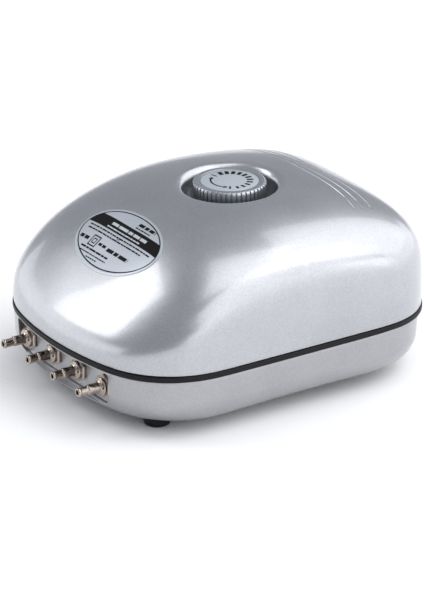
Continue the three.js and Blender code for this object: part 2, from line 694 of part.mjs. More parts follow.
// A rectangular ring round the core's middle limb, between two places on X.
function limbRing(from, to, inside, outsideY, outsideZ) {
  const halfY = CORE_HALF_BACK + GAP;
  const halfZ = CORE_STACK / 2 + GAP;
  const outer = block(
    [from, CORE_Y - halfY - outsideY, WORKS_Z - halfZ - outsideZ],
    [to, CORE_Y + halfY + outsideY, WORKS_Z + halfZ + outsideZ],
  );
  const hole = block(
    [from - 1, CORE_Y - halfY - inside, WORKS_Z - halfZ - inside],
    [to + 1, CORE_Y + halfY + inside, WORKS_Z + halfZ + inside],
  );
  return outer.subtract(hole);
}

// The bobbin's tube and flanges have one wall thickness, and its coil lies between the flanges.
const BOBBIN_WALL = 1.2;
const BOBBIN_FROM = 6.6;
const BOBBIN_TO = 25.6;
const FLANGE_Y = 10.2; // how far the flanges stand out from the limb on Y, and on Z
const FLANGE_Z = 8.2;
const COIL_SHY = 0.8; // how much less far the winding stands out

const coilBobbin = () =>
  limbRing(BOBBIN_FROM, BOBBIN_TO, 0, BOBBIN_WALL, BOBBIN_WALL)
    .add(limbRing(BOBBIN_FROM, BOBBIN_FROM + BOBBIN_WALL, 0, FLANGE_Y, FLANGE_Z))
    .add(limbRing(BOBBIN_TO - BOBBIN_WALL, BOBBIN_TO, 0, FLANGE_Y, FLANGE_Z));

function coil() {
  const [from, to] = [BOBBIN_FROM + BOBBIN_WALL + GAP, BOBBIN_TO - BOBBIN_WALL - GAP];
  return limbRing(from, to, BOBBIN_WALL + GAP, FLANGE_Y - COIL_SHY, FLANGE_Z - COIL_SHY);
}

const ARM_INNER_X = ARM_X - ARM_THICKNESS / 2;

// Flat arm with a boss round its pin and a wider end that carries the magnet.
function swingArm() {
  const outer = ARM_X + ARM_THICKNESS / 2;
  const [low, high] = [WORKS_Z - ARM_HALF_HEIGHT, WORKS_Z + ARM_HALF_HEIGHT];
  const padHalfHeight = 10;
  const padFrom = 8;
  const pin = [ARM_X, PIVOT_Y];
  return block([ARM_INNER_X, PIVOT_Y, low], [outer, ARM_END_Y, high])
    .add(
      block(
        [ARM_INNER_X, padFrom, WORKS_Z - padHalfHeight],
        [outer, ARM_END_Y, WORKS_Z + padHalfHeight],
      ),
    )
    .add(bar("z", 4.5, low, high, pin, 20))
    .subtract(bar("z", PIN_RADIUS + 0.1, 0, OUTSIDE, pin, 24));
}

// Ferrite block glued to the arm, facing the poles.
function armMagnet() {
  const [halfLength, halfHeight] = [16, 9];
  const faceX = POLE_X + 3.5;
  return block(
    [faceX, CORE_Y - halfLength, WORKS_Z - halfHeight],
    [ARM_INNER_X - GAP, CORE_Y + halfLength, WORKS_Z + halfHeight],
  );
}

// The three turned pieces below are profiles of [radius, x], all round the diaphragm's axis.

// Stud with a plate on each side of the rubber.
function diaphragmPiston() {
  const profile = [[0, 38.6], [2.4, 38.6], [2.4, 40.4], [8, 40.4], [8, 41.6], [2.4, 41.6],
    [2.4, 46.2], [6, 46.2], [6, 47.4], [2.4, 47.4], [2.4, 48.4], [0, 48.4]];
  return turned("x", profile, [DIAPHRAGM_Y, WORKS_Z], 12);
}

// Moulded rubber disc: a thick rim, one rolled fold, and a hole that clears the stud.
function diaphragm() {
  const [hole, foldFrom, fold, rimEdge] = [3.4, 7.5, 10.3, 16.6];
  const profile = [[hole, 43.3], [foldFrom, 43.3], [fold, 42.4], [RIM_RADIUS, 43.3],
    [RIM_RADIUS, 42.6], [rimEdge, 42.6], [rimEdge, 45.6], [RIM_RADIUS, 45.6],
    [RIM_RADIUS, 44.7], [fold, 43.8], [foldFrom, 44.7], [hole, 44.7]];
  return turned("x", closed(profile), [DIAPHRAGM_Y, WORKS_Z], 16);
}

// Flat ring that clamps the rim against the air chamber.
function clampRing() {
  const [outer, from, to] = [17.4, 40.8, 42.3];
  const profile = [[RIM_RADIUS, from], [outer, from], [outer, to], [RIM_RADIUS, to]];
  return turned("x", closed(profile), [DIAPHRAGM_Y, WORKS_Z], 16);
}

const CHAMBER_HIGH = 2 * WORKS_Z - SEAT_Z; // as far above the works' height as the seat is below

// Block with a pump cavity towards the diaphragm, and an intake and a delivery chamber behind it.
function airChamber() {
  const [low, high] = [SEAT_Z, CHAMBER_HIGH];
  const [front, rear] = [DIAPHRAGM_Y - CHAMBER_HALF_LENGTH, DIAPHRAGM_Y + CHAMBER_HALF_LENGTH];
  const spigot = [SPIGOT_X, WORKS_Z];
  const cavity = { radius: 12.4, floor: 51.5 };
  const pocket = { floor: 53.5, near: 1, far: 17.5, wall: 4 };
  const valve = { radius: 1.6, y: 6 };
  let body = block([CHAMBER_X, front, low], [CHAMBER_BACK_X, rear, high])
    .add(bar("y", SPIGOT_RADIUS, front - 7, front + 1, spigot, 12))
    .subtract(bar("x", cavity.radius, CHAMBER_X - 1, cavity.floor, [DIAPHRAGM_Y, WORKS_Z], 16));
  for (const side of [-1, 1]) {
    const near = DIAPHRAGM_Y + side * pocket.near;
    const far = DIAPHRAGM_Y + side * pocket.far;
    const [from, to] = [Math.min(near, far), Math.max(near, far)];
    const valveHole = [DIAPHRAGM_Y + side * valve.y, WORKS_Z];
    const [under, over] = [low + pocket.wall, high - pocket.wall];
    body = body
      .subtract(block([pocket.floor, from, under], [CHAMBER_BACK_X + 1, to, over]))
      .subtract(bar("x", valve.radius, cavity.floor - 1, pocket.floor + 1, valveHole, 12));
  }
  return body
    .subtract(bar("y", AIRWAY_RADIUS, front - 8, front + 5, spigot, 12))
    .subtract(bar("y", SPIGOT_RADIUS, rear - 5, rear + 1, spigot, 12));
}

const chamberLid = () =>
  block(
    [CHAMBER_BACK_X + GAP, DIAPHRAGM_Y - CHAMBER_HALF_LENGTH, SEAT_Z],
    [CHAMBER_BACK_X + 2, DIAPHRAGM_Y + CHAMBER_HALF_LENGTH, CHAMBER_HIGH],
  );

// Bracket with two ears that hold the pin above and below the arm's boss.
const EAR_THICKNESS = 3;
const EAR_REACH = ARM_HALF_HEIGHT + 0.4 + EAR_THICKNESS; // from the works' height to outside

function pivotBracket() {
  const half = 6;
  const wallThickness = 2;
  const [left, right] = [ARM_X - half, ARM_X + half];
  const [back, front] = [PLATE_FRONT_Y, PIVOT_Y + half];
  const wallTop = WORKS_Z + EAR_REACH;
  let bracket = block([left, back, SEAT_Z], [right, back + wallThickness, wallTop])
    .add(block([left, back, SEAT_Z], [right, front, SEAT_Z + wallThickness]));
  for (const low of [WORKS_Z - EAR_REACH, WORKS_Z + EAR_REACH - EAR_THICKNESS])
    bracket = bracket.add(block([left, back, low], [right, front, low + EAR_THICKNESS]));
  return bracket.subtract(bar("z", PIN_RADIUS + GAP, 20, OUTSIDE, [ARM_X, PIVOT_Y], 16));
}

function pivotPin() {
  const headRadius = 3.4;
  const bottom = 24;
  const top = WORKS_Z + EAR_REACH + GAP;
  const headTop = top + 1.4;
  const profile = [[0, bottom], [PIN_RADIUS, bottom], [PIN_RADIUS, top], [headRadius, top],
    [headRadius, headTop], [0, headTop]];
  return turned("z", profile, [ARM_X, PIVOT_Y], 24);
}

// Silicone tube from the air chamber's spigot, round the case post, to the manifold's spigot.
function deliveryHose() {
  const hoseRadius = 3.6;
  const ring = new THREE.Shape().absarc(0, 0, hoseRadius, 0, 2 * Math.PI);
  ring.holes.push(new THREE.Path().absarc(0, 0, SPIGOT_RADIUS + GAP, 0, 2 * Math.PI, true));
  const route = new THREE.CatmullRomCurve3([
    new THREE.Vector3(SPIGOT_X, -34.6, WORKS_Z),
    new THREE.Vector3(SPIGOT_X, -42, WORKS_Z),
    new THREE.Vector3(58.5, -52, 34),
    new THREE.Vector3(60, -61, 31),
    new THREE.Vector3(58.5, -69.5, 26.5),
    new THREE.Vector3(53, -74.5, 22.5),
    new THREE.Vector3(47, MANIFOLD_PORT_Y, NOZZLE_Z),
    new THREE.Vector3(40.5, MANIFOLD_PORT_Y, NOZZLE_Z),
  ]);
  const options = { steps: 12, extrudePath: route, curveSegments: 4, bevelEnabled: false };
  return solid(new THREE.ExtrudeGeometry(ring, options));
}

const SIDE_PARTS = [
  ["coil_bobbin", nylon, coilBobbin()],
  ["coil", copper, coil()],
  ["swing_arm", aluminium, swingArm()],
  ["arm_magnet", ferrite, armMagnet()],
  ["diaphragm_piston", aluminium, diaphragmPiston()],
  ["diaphragm", blackRubber, diaphragm()],
  ["clamp_ring", chamberPlastic, clampRing()],
  ["air_chamber", chamberPlastic, airChamber()],
  ["chamber_lid", chamberPlastic, chamberLid()],
  ["pivot_bracket", steel, pivotBracket()],
  ["pivot_pin", steel, pivotPin()],
  ["delivery_hose", silicone, deliveryHose()],
];

for (const [side, mirror] of [["right", 1], ["left", -1]]) {
  const works = new THREE.Group();
  works.scale.x = mirror;
  for (const [name, material, shape] of SIDE_PARTS) part(side + "_" + name, material, shape, works);
  pump.add(works);
}

// ---- cable gland, terminal block and intake filter

// Bush with a flange on each side of the wall: the profile is [radius, y].
function cableGland() {
  const [inside, innerFace, outerFace, end] = [88.2, 89.4, 94.2, 95.8];
  const [innerFlange, outerFlange, outerEdge] = [6.2, 6.6, 6.2];
  const profile = [[GLAND_BORE_RADIUS, inside], [innerFlange, inside], [innerFlange, innerFace],
    [GLAND_NECK_RADIUS, innerFace], [GLAND_NECK_RADIUS, outerFace], [outerFlange, outerFace],
    [outerEdge, end], [GLAND_BORE_RADIUS, end]];
  return turned("y", closed(profile), [0, GLAND_Z], 16);
}

const terminalBlock = () => block([-13, 62, TRAY_FLOOR + GAP], [13, 74, 22]);

const filterFelt = () =>
  bar("z", FILTER_RADIUS - 0.4, FOOT_HEIGHT + 0.2, TRAY_FLOOR + 2, [0, FILTER_Y], 24);

// Round cover clipped under the tray, with five slots that are shorter towards the sides.
function filterCover() {
  const flange = 3;
  const thickness = 1.2;
  const [slotPitch, slotHalfWidth, longestHalf] = [5, 1.1, 11];
  const top = FOOT_HEIGHT - GAP;
  let cover = bar("z", FILTER_RADIUS + flange, top - thickness, top, [0, FILTER_Y], 28);
  for (const x of [-2, -1, 0, 1, 2].map((n) => n * slotPitch)) {
    const half = longestHalf - Math.abs(x) / 3;
    const corners = [[x - slotHalfWidth, FILTER_Y - half, 0],
      [x + slotHalfWidth, FILTER_Y + half, FOOT_HEIGHT + 1]];
    cover = cover.subtract(block(...corners));
  }
  return cover;
}

part("cable_gland", blackRubber, cableGland());
part("terminal_block", nylon, terminalBlock());
part("filter_felt", felt, filterFelt());
part("filter_cover", trayPaint, filterCover());

pump.position.y = CASE_Y;

export default pump;
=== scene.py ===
# %% [markdown]
# # An aquarium air pump with a silver case
# The pump is two painted ABS shells with a black rubber band between them. A control knob sits in
# a round well on top, an oval label lies on the front slope, and four nickel-plated nozzles stand
# in a recess at the front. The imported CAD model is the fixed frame: it says where each piece goes
# and what turns. This lesson builds the fine surfaces round it and gives every piece its finish.

import json
import math

import bmesh
import bpy
import numpy as np
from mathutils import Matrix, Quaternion, Vector


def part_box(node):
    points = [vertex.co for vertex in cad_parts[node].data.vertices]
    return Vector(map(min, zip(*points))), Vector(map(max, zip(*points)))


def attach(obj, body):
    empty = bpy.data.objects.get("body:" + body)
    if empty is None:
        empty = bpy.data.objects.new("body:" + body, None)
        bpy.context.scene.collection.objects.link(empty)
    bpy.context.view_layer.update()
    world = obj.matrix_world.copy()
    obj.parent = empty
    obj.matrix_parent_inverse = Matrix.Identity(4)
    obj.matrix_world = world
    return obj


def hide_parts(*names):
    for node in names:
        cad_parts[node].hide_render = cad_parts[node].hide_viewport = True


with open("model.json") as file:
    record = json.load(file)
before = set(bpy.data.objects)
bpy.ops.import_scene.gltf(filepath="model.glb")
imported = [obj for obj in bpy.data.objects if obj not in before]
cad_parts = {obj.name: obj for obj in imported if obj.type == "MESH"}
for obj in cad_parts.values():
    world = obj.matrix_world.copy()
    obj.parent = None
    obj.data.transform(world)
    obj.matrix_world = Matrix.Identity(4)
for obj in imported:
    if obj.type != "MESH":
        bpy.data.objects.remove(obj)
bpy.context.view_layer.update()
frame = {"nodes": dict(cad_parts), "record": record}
MM = 0.001
GAP = 0.3  # millimetres kept between two CAD pieces that touch on the real pump
OUTSIDE = 110.0  # a place beyond the whole pump, where cutting tools start or end


# %% [markdown]
# ## Sizes that come from the frame
# Every visible piece has to sit where its CAD solid is, so the leading sizes are read from the
# nodes' boxes and only the shapes between them, such as corner radii, are written here. Lengths
# are in millimetres until a mesh is made, because that is how the parts would be drawn.


# %% Read the leading sizes
# The case is drawn about its own middle, CASE_Y behind the origin, and moved there when a mesh
# is made.
CASE_Y = (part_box("cover_gasket")[0][1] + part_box("cover_gasket")[1][1]) / (2 * MM)


def node_box(name):
    low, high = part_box(name)
    return [[corner[0] / MM, corner[1] / MM - CASE_Y, corner[2] / MM] for corner in (low, high)]


band_low, band_high = node_box("cover_gasket")
LENGTH = band_high[1] - band_low[1]
WIDTH = band_high[0] - band_low[0]
BAND_BOTTOM = band_low[2]
BAND_HEIGHT = 2.7
BAND_TOP = BAND_BOTTOM + BAND_HEIGHT
TRAY_BOTTOM = node_box("base_tray")[0][2]
knob_low, knob_high = node_box("control_knob")
KNOB_Y = (knob_low[1] + knob_high[1]) / 2
KNOB_RADIUS = (knob_high[0] - knob_low[0]) / 2
print(f"case {LENGTH:.1f} x {WIDTH:.1f} mm, knob {2 * KNOB_RADIUS:.1f} mm across")


# %% [markdown]
# ## The plan of the case
# Seen from above the case is a soft rectangle: a strongly bowed front, nearly straight sides and a
# gently bowed rear, joined by round corners. It could be drawn by hand as a spline, but five arcs
# that run smoothly into each other give the same outline every time and stay exact at any
# fineness, so the band, the cover and the tray all take their walls from one function.


# %% Draw the plan from tangent arcs
PLAN_CENTRE_Y = 5.0
FRONT_RADIUS, SIDE_RADIUS, REAR_RADIUS = 182.4, 2852.0, 294.9
FRONT_CORNER, REAR_CORNER = 44.9, 38.5
WIDEST_Y = 36.9

front_centre = np.array([0.0, FRONT_RADIUS - LENGTH / 2])
side_centre = np.array([WIDTH / 2 - SIDE_RADIUS, WIDEST_Y])
rear_centre = np.array([0.0, LENGTH / 2 - REAR_RADIUS])


def corner_centre(first, first_radius, second, second_radius, radius):
    a, b = first_radius - radius, second_radius - radius
    apart = np.linalg.norm(second - first)
    along = (a * a - b * b + apart * apart) / (2 * apart)
    aside = math.sqrt(a * a - along * along)
    ahead = (second - first) / apart
    side = np.array([-ahead[1], ahead[0]])
    options = [first + ahead * along + side * aside, first + ahead * along - side * aside]
    return max(options, key=lambda point: point[0])


front_corner = corner_centre(front_centre, FRONT_RADIUS, side_centre, SIDE_RADIUS, FRONT_CORNER)
rear_corner = corner_centre(side_centre, SIDE_RADIUS, rear_centre, REAR_RADIUS, REAR_CORNER)
PLAN_ARCS = [
    (front_centre, FRONT_RADIUS),
    (front_corner, FRONT_CORNER),
    (side_centre, SIDE_RADIUS),
    (rear_corner, REAR_CORNER),
    (rear_centre, REAR_RADIUS),
]


# Distance from the plan's centre to the arcs, for each angle from +X.
def arc_reach(angle):
    direction = np.stack([np.abs(np.cos(angle)), np.sin(angle)])
    folded = np.arctan2(direction[1], direction[0])
    reach, bounds = [], []
    for centre, radius in PLAN_ARCS:
        offset = centre - np.array([0.0, PLAN_CENTRE_Y])
        along = offset @ direction
        reach.append(along + np.sqrt(np.maximum(radius**2 - offset @ offset + along**2, 0.0)))
    joints = [
        (front_centre, FRONT_RADIUS, front_corner),
        (side_centre, SIDE_RADIUS, front_corner),
        (side_centre, SIDE_RADIUS, rear_corner),
        (rear_centre, REAR_RADIUS, rear_corner),
    ]
    for centre, radius, corner in joints:
        out = centre + (corner - centre) / np.linalg.norm(corner - centre) * radius
        bounds.append(math.atan2(out[1] - PLAN_CENTRE_Y, out[0]))
    return np.choose(np.digitize(folded, bounds), reach)


# Where two arcs meet the curvature jumps, and a polished mould would show it as a crease in the
# light, so the outline is eased over a few degrees, as a model maker would sand it. Easing swells
# the nearly straight sides by a fifth of a millimetre, which is taken off again, so that the case
# keeps its width; what each pass leaves over is smaller than the last.
FINE_STEPS = 7200
EASE_DEGREES, EASE_SAMPLES = 9, 37
FINE_TURN = np.linspace(-math.pi, math.pi, FINE_STEPS, endpoint=False)
offsets = np.radians(np.linspace(-EASE_DEGREES, EASE_DEGREES, EASE_SAMPLES))
weights = np.cos(offsets / offsets[-1] * math.pi / 2) ** 2
eased_reach = sum(w * arc_reach(FINE_TURN + o) for w, o in zip(weights, offsets)) / weights.sum()
for _ in range(4):
    eased_reach -= (eased_reach * np.cos(FINE_TURN)).max() - WIDTH / 2


def plan_radius(angle):
    return np.interp(angle, FINE_TURN, eased_reach, period=2 * math.pi)


# The same outline seen from another point on the centre line.
def plan_radius_from(centre_y, angle):
    x = eased_reach * np.cos(FINE_TURN)
    y = eased_reach * np.sin(FINE_TURN) + PLAN_CENTRE_Y - centre_y
    return np.interp(angle, np.unwrap(np.arctan2(y, x)), np.hypot(x, y), period=2 * math.pi)


print(f"outline reaches {plan_radius(-math.pi / 2):.1f} mm to the front")


# %% [markdown]
# ## The dome of the cover
# The moulded cover is one flowing surface: its crown slopes down to the front, falls off to both
# sides, and turns down into the walls by a shoulder that is tight at the sides and slow at the
# front. A superellipse does that bend with one number for each direction, which is easier to keep
# smooth than a net of control points.


# %% Height of the cover above any point of the plan
COVER_INSET = 0.4
SHOULDER_FRONT, SHOULDER_SIDE, SHOULDER_REAR = 3.2, 7.8, 3.9
# The crown is a cubic along the case, in units of 100 mm, and a parabola across, in units of 70.
CROWN_Z, CROWN_SLOPE, CROWN_BOW, CROWN_SKEW, CROWN_SIDE_FALL = 96.5, 6.1, -26.6, 13.7, 11.6
LENGTH_UNIT, WIDTH_UNIT = 100, 70


def dome_height(x, y, inset=COVER_INSET, drop=0.0):
    angle = np.arctan2(y - PLAN_CENTRE_Y, x)
    share = np.hypot(x, y - PLAN_CENTRE_Y) / (plan_radius(angle) - inset)
    share = np.minimum(share, 1.0)
    along, across = y / LENGTH_UNIT, x / WIDTH_UNIT
    crown = CROWN_Z + CROWN_SLOPE * along + CROWN_BOW * along**2 + CROWN_SKEW * along**3
    crown = crown - CROWN_SIDE_FALL * across**2 - drop
    end = SHOULDER_FRONT + (SHOULDER_REAR - SHOULDER_FRONT) * (1 + np.sin(angle)) / 2
    power = SHOULDER_SIDE + (end - SHOULDER_SIDE) * np.sin(angle) ** 2
    return BAND_TOP + (crown - BAND_TOP) * (1 - share**power) ** (1 / power)


print(f"crown {dome_height(np.array([0.0]), np.array([13.0]))[0]:.1f} mm above the shelf")


# %% [markdown]
# ## Small tools
# A maker needs three: one that turns a named colour into light the renderer adds up, one that puts
# a shader node in place with its settings and links, and one that turns rings of points into a
# closed mesh, because most of this pump was turned, or swept round its plan.


# %% Colours and shader nodes
def linear(hex_colour):
    channels = [int(hex_colour[i : i + 2], 16) / 255 for i in (1, 3, 5)]
    return (*[c / 12.92 if c <= 0.04045 else ((c + 0.055) / 1.055) ** 2.4 for c in channels], 1.0)


def add(tree, kind, inputs=None, **settings):
    node = tree.nodes.new("ShaderNode" + kind)
    for name, value in settings.items():
        setattr(node, name, value)
    for name, value in (inputs or {}).items():
        if isinstance(value, bpy.types.NodeSocket):
            tree.links.new(value, node.inputs[name])
        else:
            node.inputs[name].default_value = value
    return node


# A new material with its shader and a place in object space measured in millimetres.
def new_finish(name, **constants):
    material = bpy.data.materials.new(name)
    material.use_nodes = True
    tree = material.node_tree
    shader = tree.nodes["Principled BSDF"]
    for socket, value in constants.items():
        shader.inputs[socket.replace("_", " ")].default_value = value
    where = add(tree, "TexCoord").outputs["Object"]
    place = add(tree, "VectorMath", {0: where, 1: (1 / MM,) * 3}, operation="MULTIPLY")
    return material, tree, shader, place.outputs[0]


# Blends two colours by a factor socket.
def mix_colours(tree, factor, first, second):
    return add(tree, "Mix", {0: factor, 6: first, 7: second}, data_type="RGBA").outputs[2]


# Maps a factor from one range to another.
def spread(tree, value, low, high, to_low, to_high):
    inputs = {"Value": value, 1: low, 2: high, 3: to_low, 4: to_high}
    return add(tree, "MapRange", inputs).outputs[0]


# %% Meshes from rings of points
def mesh_object(name, vertices, faces, material, sharp_degrees=35):
    mesh = bpy.data.meshes.new(name)
    placed = (np.asarray(vertices) + np.array([0.0, CASE_Y, 0.0])) * MM
    mesh.from_pydata([tuple(point) for point in placed], [], faces)
    mesh.validate()
    mesh.polygons.foreach_set("use_smooth", [True] * len(mesh.polygons))
    mesh.update()
    mesh.set_sharp_from_angle(angle=math.radians(sharp_degrees))
    mesh.materials.append(material)
    piece = bpy.data.objects.new(name, mesh)
    bpy.context.scene.collection.objects.link(piece)
    return piece


# Joins rings of equal count into a skin; a closed skin runs back from the last ring to the first,
# and a capped one ends in a single point at each end.
def skin(rings, closed=False, capped=False):
    count = len(rings[0])
    vertices = [point for ring in rings for point in ring]
    faces = []
    pairs = len(rings) if closed else len(rings) - 1
    for i in range(pairs):
        a, b = i * count, ((i + 1) % len(rings)) * count
        for j in range(count):
            k = (j + 1) % count
            faces.append((a + j, a + k, b + k, b + j))
    if capped:
        ends = ((0, rings[0], True), (count * (len(rings) - 1), rings[-1], False))
        for ring_start, ring, flip in ends:
            vertices.append(np.mean(ring, axis=0))
            centre = len(vertices) - 1
            for j in range(count):
                edge = (ring_start + j, ring_start + (j + 1) % count)
                faces.append((*(edge[::-1] if flip else edge), centre))
    return vertices, faces


# Points of a turned profile, [radius, place], round an axis through a centre.
def turned_rings(axis, profile, centre, steps=48):
    turn = np.linspace(0, 2 * math.pi, steps, endpoint=False)
    rings = []
    for radius, place in profile:
        first, second = radius * np.cos(turn), radius * np.sin(turn)
        flat = np.full(steps, float(place))
        columns = {
            "x": (flat, first + centre[0], second + centre[1]),
            "y": (second + centre[0], flat, first + centre[1]),
            "z": (first + centre[0], second + centre[1], flat),
        }[axis]
        rings.append(np.stack(columns, axis=-1))
    return rings


# Rounds the corners of a profile with short curves, so that turned edges catch the light.
def eased(profile, radius, steps=3, closed=False):
    points = [np.array(p, dtype=float) for p in profile]
    result = []
    for i, point in enumerate(points):
        if not closed and i in (0, len(points) - 1):
            result.append(point)
            continue
        before, after = points[i - 1], points[(i + 1) % len(points)]
        to_before, to_after = before - point, after - point
        reach = min(radius, np.linalg.norm(to_before) / 2.2, np.linalg.norm(to_after) / 2.2)
        start = point + to_before / np.linalg.norm(to_before) * reach
        end = point + to_after / np.linalg.norm(to_after) * reach
        for t in np.linspace(0, 1, steps + 1):
            result.append((1 - t) ** 2 * start + 2 * t * (1 - t) * point + t**2 * end)
    return result


def turned(name, axis, profile, centre, material, steps=48, ease=0.15):
    rings = turned_rings(axis, eased(profile, ease, closed=True), centre, steps)
    vertices, faces = skin(rings, closed=True)
    piece = mesh_object(name, vertices, faces, material)
    return outward(piece)


# Turns every face of a closed piece to look outwards.
def outward(piece):
    work = bmesh.new()
    work.from_mesh(piece.data)
    bmesh.ops.recalc_face_normals(work, faces=work.faces)
    work.to_mesh(piece.data)
    work.free()
    return piece


# %% [markdown]
# ## Camera
# A product view from the front right corner, a little above, with a long lens from two metres, so
# that the sides of the case hardly converge.

# %% Camera
AZIMUTH, ELEVATION = math.radians(56.2), math.radians(23.5)
DISTANCE, LENS_MM = 2.02, 240.3
CASE_MIDDLE_Z = 0.0519
MOVE_RIGHT, MOVE_UP = -0.0008, -0.0173  # from the middle of the case to the middle of the view
right = Vector((math.cos(AZIMUTH), math.sin(AZIMUTH), 0))
up = Vector((
    -math.sin(AZIMUTH) * math.sin(ELEVATION),
    math.cos(AZIMUTH) * math.sin(ELEVATION),
    math.cos(ELEVATION),
))
back = right.cross(up)
aim = Vector((0, CASE_Y * MM, CASE_MIDDLE_Z)) + right * MOVE_RIGHT + up * MOVE_UP
camera_data = bpy.data.cameras.new("camera")
camera_data.lens = LENS_MM
camera_data.clip_end = 20
camera = bpy.data.objects.new("camera", camera_data)
camera.location = aim + back * DISTANCE
camera.rotation_mode = "QUATERNION"
camera.rotation_quaternion = (-back).to_track_quat("-Z", "Y")
bpy.context.scene.collection.objects.link(camera)
bpy.context.scene.camera = camera
print("camera at", [round(v, 2) for v in camera.location])


# %% [markdown]
# ## Floor and studio light
# A white sweep and large softboxes, as for a catalogue picture. Two tall banks stand behind and to
# the right, with a low strip under each, and draw the broad highlight on the long shoulder. A
# smaller box and a reflector stand at the front left for the front slope, and one box hangs
# overhead. The room behind the camera stays darker, so that the silver shows its shape.


# %% Floor
def studio_floor():
    bpy.ops.mesh.primitive_plane_add(size=14, location=(0, 0, 0))
    floor = bpy.context.object
    floor.name = "studio_floor"
    material, tree, shader, place = new_finish("white paper sweep", Roughness=0.9)
    grain = add(tree, "TexNoise", {"Vector": place, "Scale": 0.4, "Detail": 4.0}).outputs[0]
    tone = mix_colours(tree, grain, linear("#fafafa"), linear("#fefefe"))
    tree.links.new(tone, shader.inputs["Base Color"])
    floor.data.materials.append(material)
    return floor


print("floor of", studio_floor().data.materials[0].name)


# %% [markdown]
# A metal shows its lights rather than its own colour, so each box is placed by the direction in
# which the paint would mirror it. Rectangular area lights do that without any mesh in the scene.

# %% Softboxes
LIT_HEIGHT = 0.06  # the boxes face this height above the floor


# Each softbox is given by the direction it is seen in from the pump, its distance and its size in
# metres, and its brightness against white paper.
def softbox(name, azimuth, elevation, distance, width, height, brightness, roll=0.0):
    bearing, raised = math.radians(azimuth), math.radians(elevation)
    direction = Vector((
        math.cos(bearing) * math.cos(raised), math.sin(bearing) * math.cos(raised), math.sin(raised)
    ))
    light = bpy.data.lights.new(name, "AREA")
    light.shape = "RECTANGLE"
    light.size, light.size_y = width, height
    light.energy = brightness * math.pi * width * height
    lamp = bpy.data.objects.new(name, light)
    lamp.location = Vector((0, 0, LIT_HEIGHT)) + direction * distance
    lamp.rotation_mode = "QUATERNION"
    rolled = Quaternion((0, 0, 1), math.radians(roll))
    lamp.rotation_quaternion = (-direction).to_track_quat("-Z", "Y") @ rolled
    bpy.context.scene.collection.objects.link(lamp)


softbox("long_side_bank", 79, 44, 2.0, 2.3, 1.9, 1.55)
softbox("long_side_fill", 76, 9, 2.1, 3.4, 0.76, 1.25)
softbox("corner_bank", 14, 43, 2.2, 2.5, 2.2, 1.3)
softbox("corner_fill", 10, 8, 2.3, 3.2, 0.74, 1.1)
softbox("front_left_box", 220, 38, 1.6, 0.62, 1.0, 3.1, 15)
softbox("front_reflector", 222, 8, 2.2, 3.4, 0.75, 1.1)
softbox("overhead_box", 60, 83, 2.4, 1.4, 1.4, 1.5)
print("softboxes:", len(bpy.data.lights))


# %% [markdown]
# What no box lights still mirrors the room. A picture of a studio could stand round the scene, but
# a plain cool grey is enough to fill those sides, and it leaves the boxes to draw the shape. The
# Standard view transform shows every colour as it was mixed.

# %% The grey room round the boxes
world = bpy.data.worlds.new("studio")
bpy.context.scene.world = world
world.use_nodes = True
world.node_tree.nodes["Background"].inputs[0].default_value = linear("#a4a7ae")
world.node_tree.nodes["Background"].inputs[1].default_value = 1.0
bpy.context.scene.view_settings.view_transform = "Standard"


# %% [markdown]
# ## Silver paint
# The shells are ABS, sprayed with a silver base coat and a satin clear coat. The base coat is full
# of aluminium flakes that lie almost flat, so it reflects like a blurred mirror and sparkles a
# little, and the clear coat adds a sharper, weaker reflection on top. Real flakes are 0.02 mm wide;
# here they are drawn about half a millimetre wide so that they show.


# %% Silver paint
FLAKE_MM = 0.45
ORANGE_PEEL_MM = 2.5
CLOUD_MM = 20  # the spray gun leaves soft clouds about this wide


def silver_paint(name, dark, light, roughness, coat, metallic=0.88):
    material, tree, shader, place = new_finish(
        name, Metallic=metallic, Coat_Weight=coat, Coat_Roughness=0.04, IOR=1.5
    )
    flakes = add(tree, "TexVoronoi", {"Vector": place, "Scale": 1 / FLAKE_MM}).outputs["Color"]
    spark = add(tree, "SeparateColor", {0: flakes}).outputs[0]
    cloud = add(tree, "TexNoise", {"Vector": place, "Scale": 1 / CLOUD_MM, "Detail": 3.0}).outputs[0]
    both = add(tree, "Math", {0: spark, 1: cloud}, operation="ADD").outputs[0]
    level = spread(tree, both, 0.0, 2.0, 0.0, 1.0)
    tree.links.new(mix_colours(tree, level, linear(dark), linear(light)), shader.inputs["Base Color"])
    rough = spread(tree, cloud, 0.2, 0.8, roughness - 0.02, roughness + 0.02)
    tree.links.new(rough, shader.inputs["Roughness"])
    peel = add(tree, "TexNoise", {"Vector": place, "Scale": 1 / ORANGE_PEEL_MM, "Detail": 3.0})
    bump = add(tree, "Bump", {"Height": peel.outputs[0], "Strength": 0.05, "Distance": 0.0002})
    tree.links.new(bump.outputs[0], shader.inputs["Normal"])
    return material


cover_paint = silver_paint("silver spray paint on ABS, cover", "#a6a8ad", "#c4c5c9", 0.29, 0.65)
tray_paint = silver_paint("silver spray paint on ABS, tray", "#9b9b9f", "#b4b4b7", 0.32, 0.6)

print("paints:", cover_paint.name, "and", tray_paint.name)

# %% [markdown]
# ## Silver plastic of the knob
# The knob is not sprayed: its silver comes from aluminium pigment in the ABS, which scatters more
# and mirrors less than paint. The same recipe makes it, with less metal, less coat and a rougher
# surface, so that the two silvers are seen to be different stuffs.

# %% Silver-pigmented plastic of the knob
knob_plastic = silver_paint("silver-pigmented ABS, knob", "#a4a7ad", "#bcbfc3", 0.3, 0.25, 0.9)

# %% [markdown]
# ## Rubber and plastics
# The band and feet are moulded rubber: dark, with a soft sheen and a fine texture from the mould.
# The bobbins and air chambers inside are nylon, and the hoses silicone. All of them come out of a
# tool, so one recipe makes them: two close tones, and a fine noise that roughens and dimples.


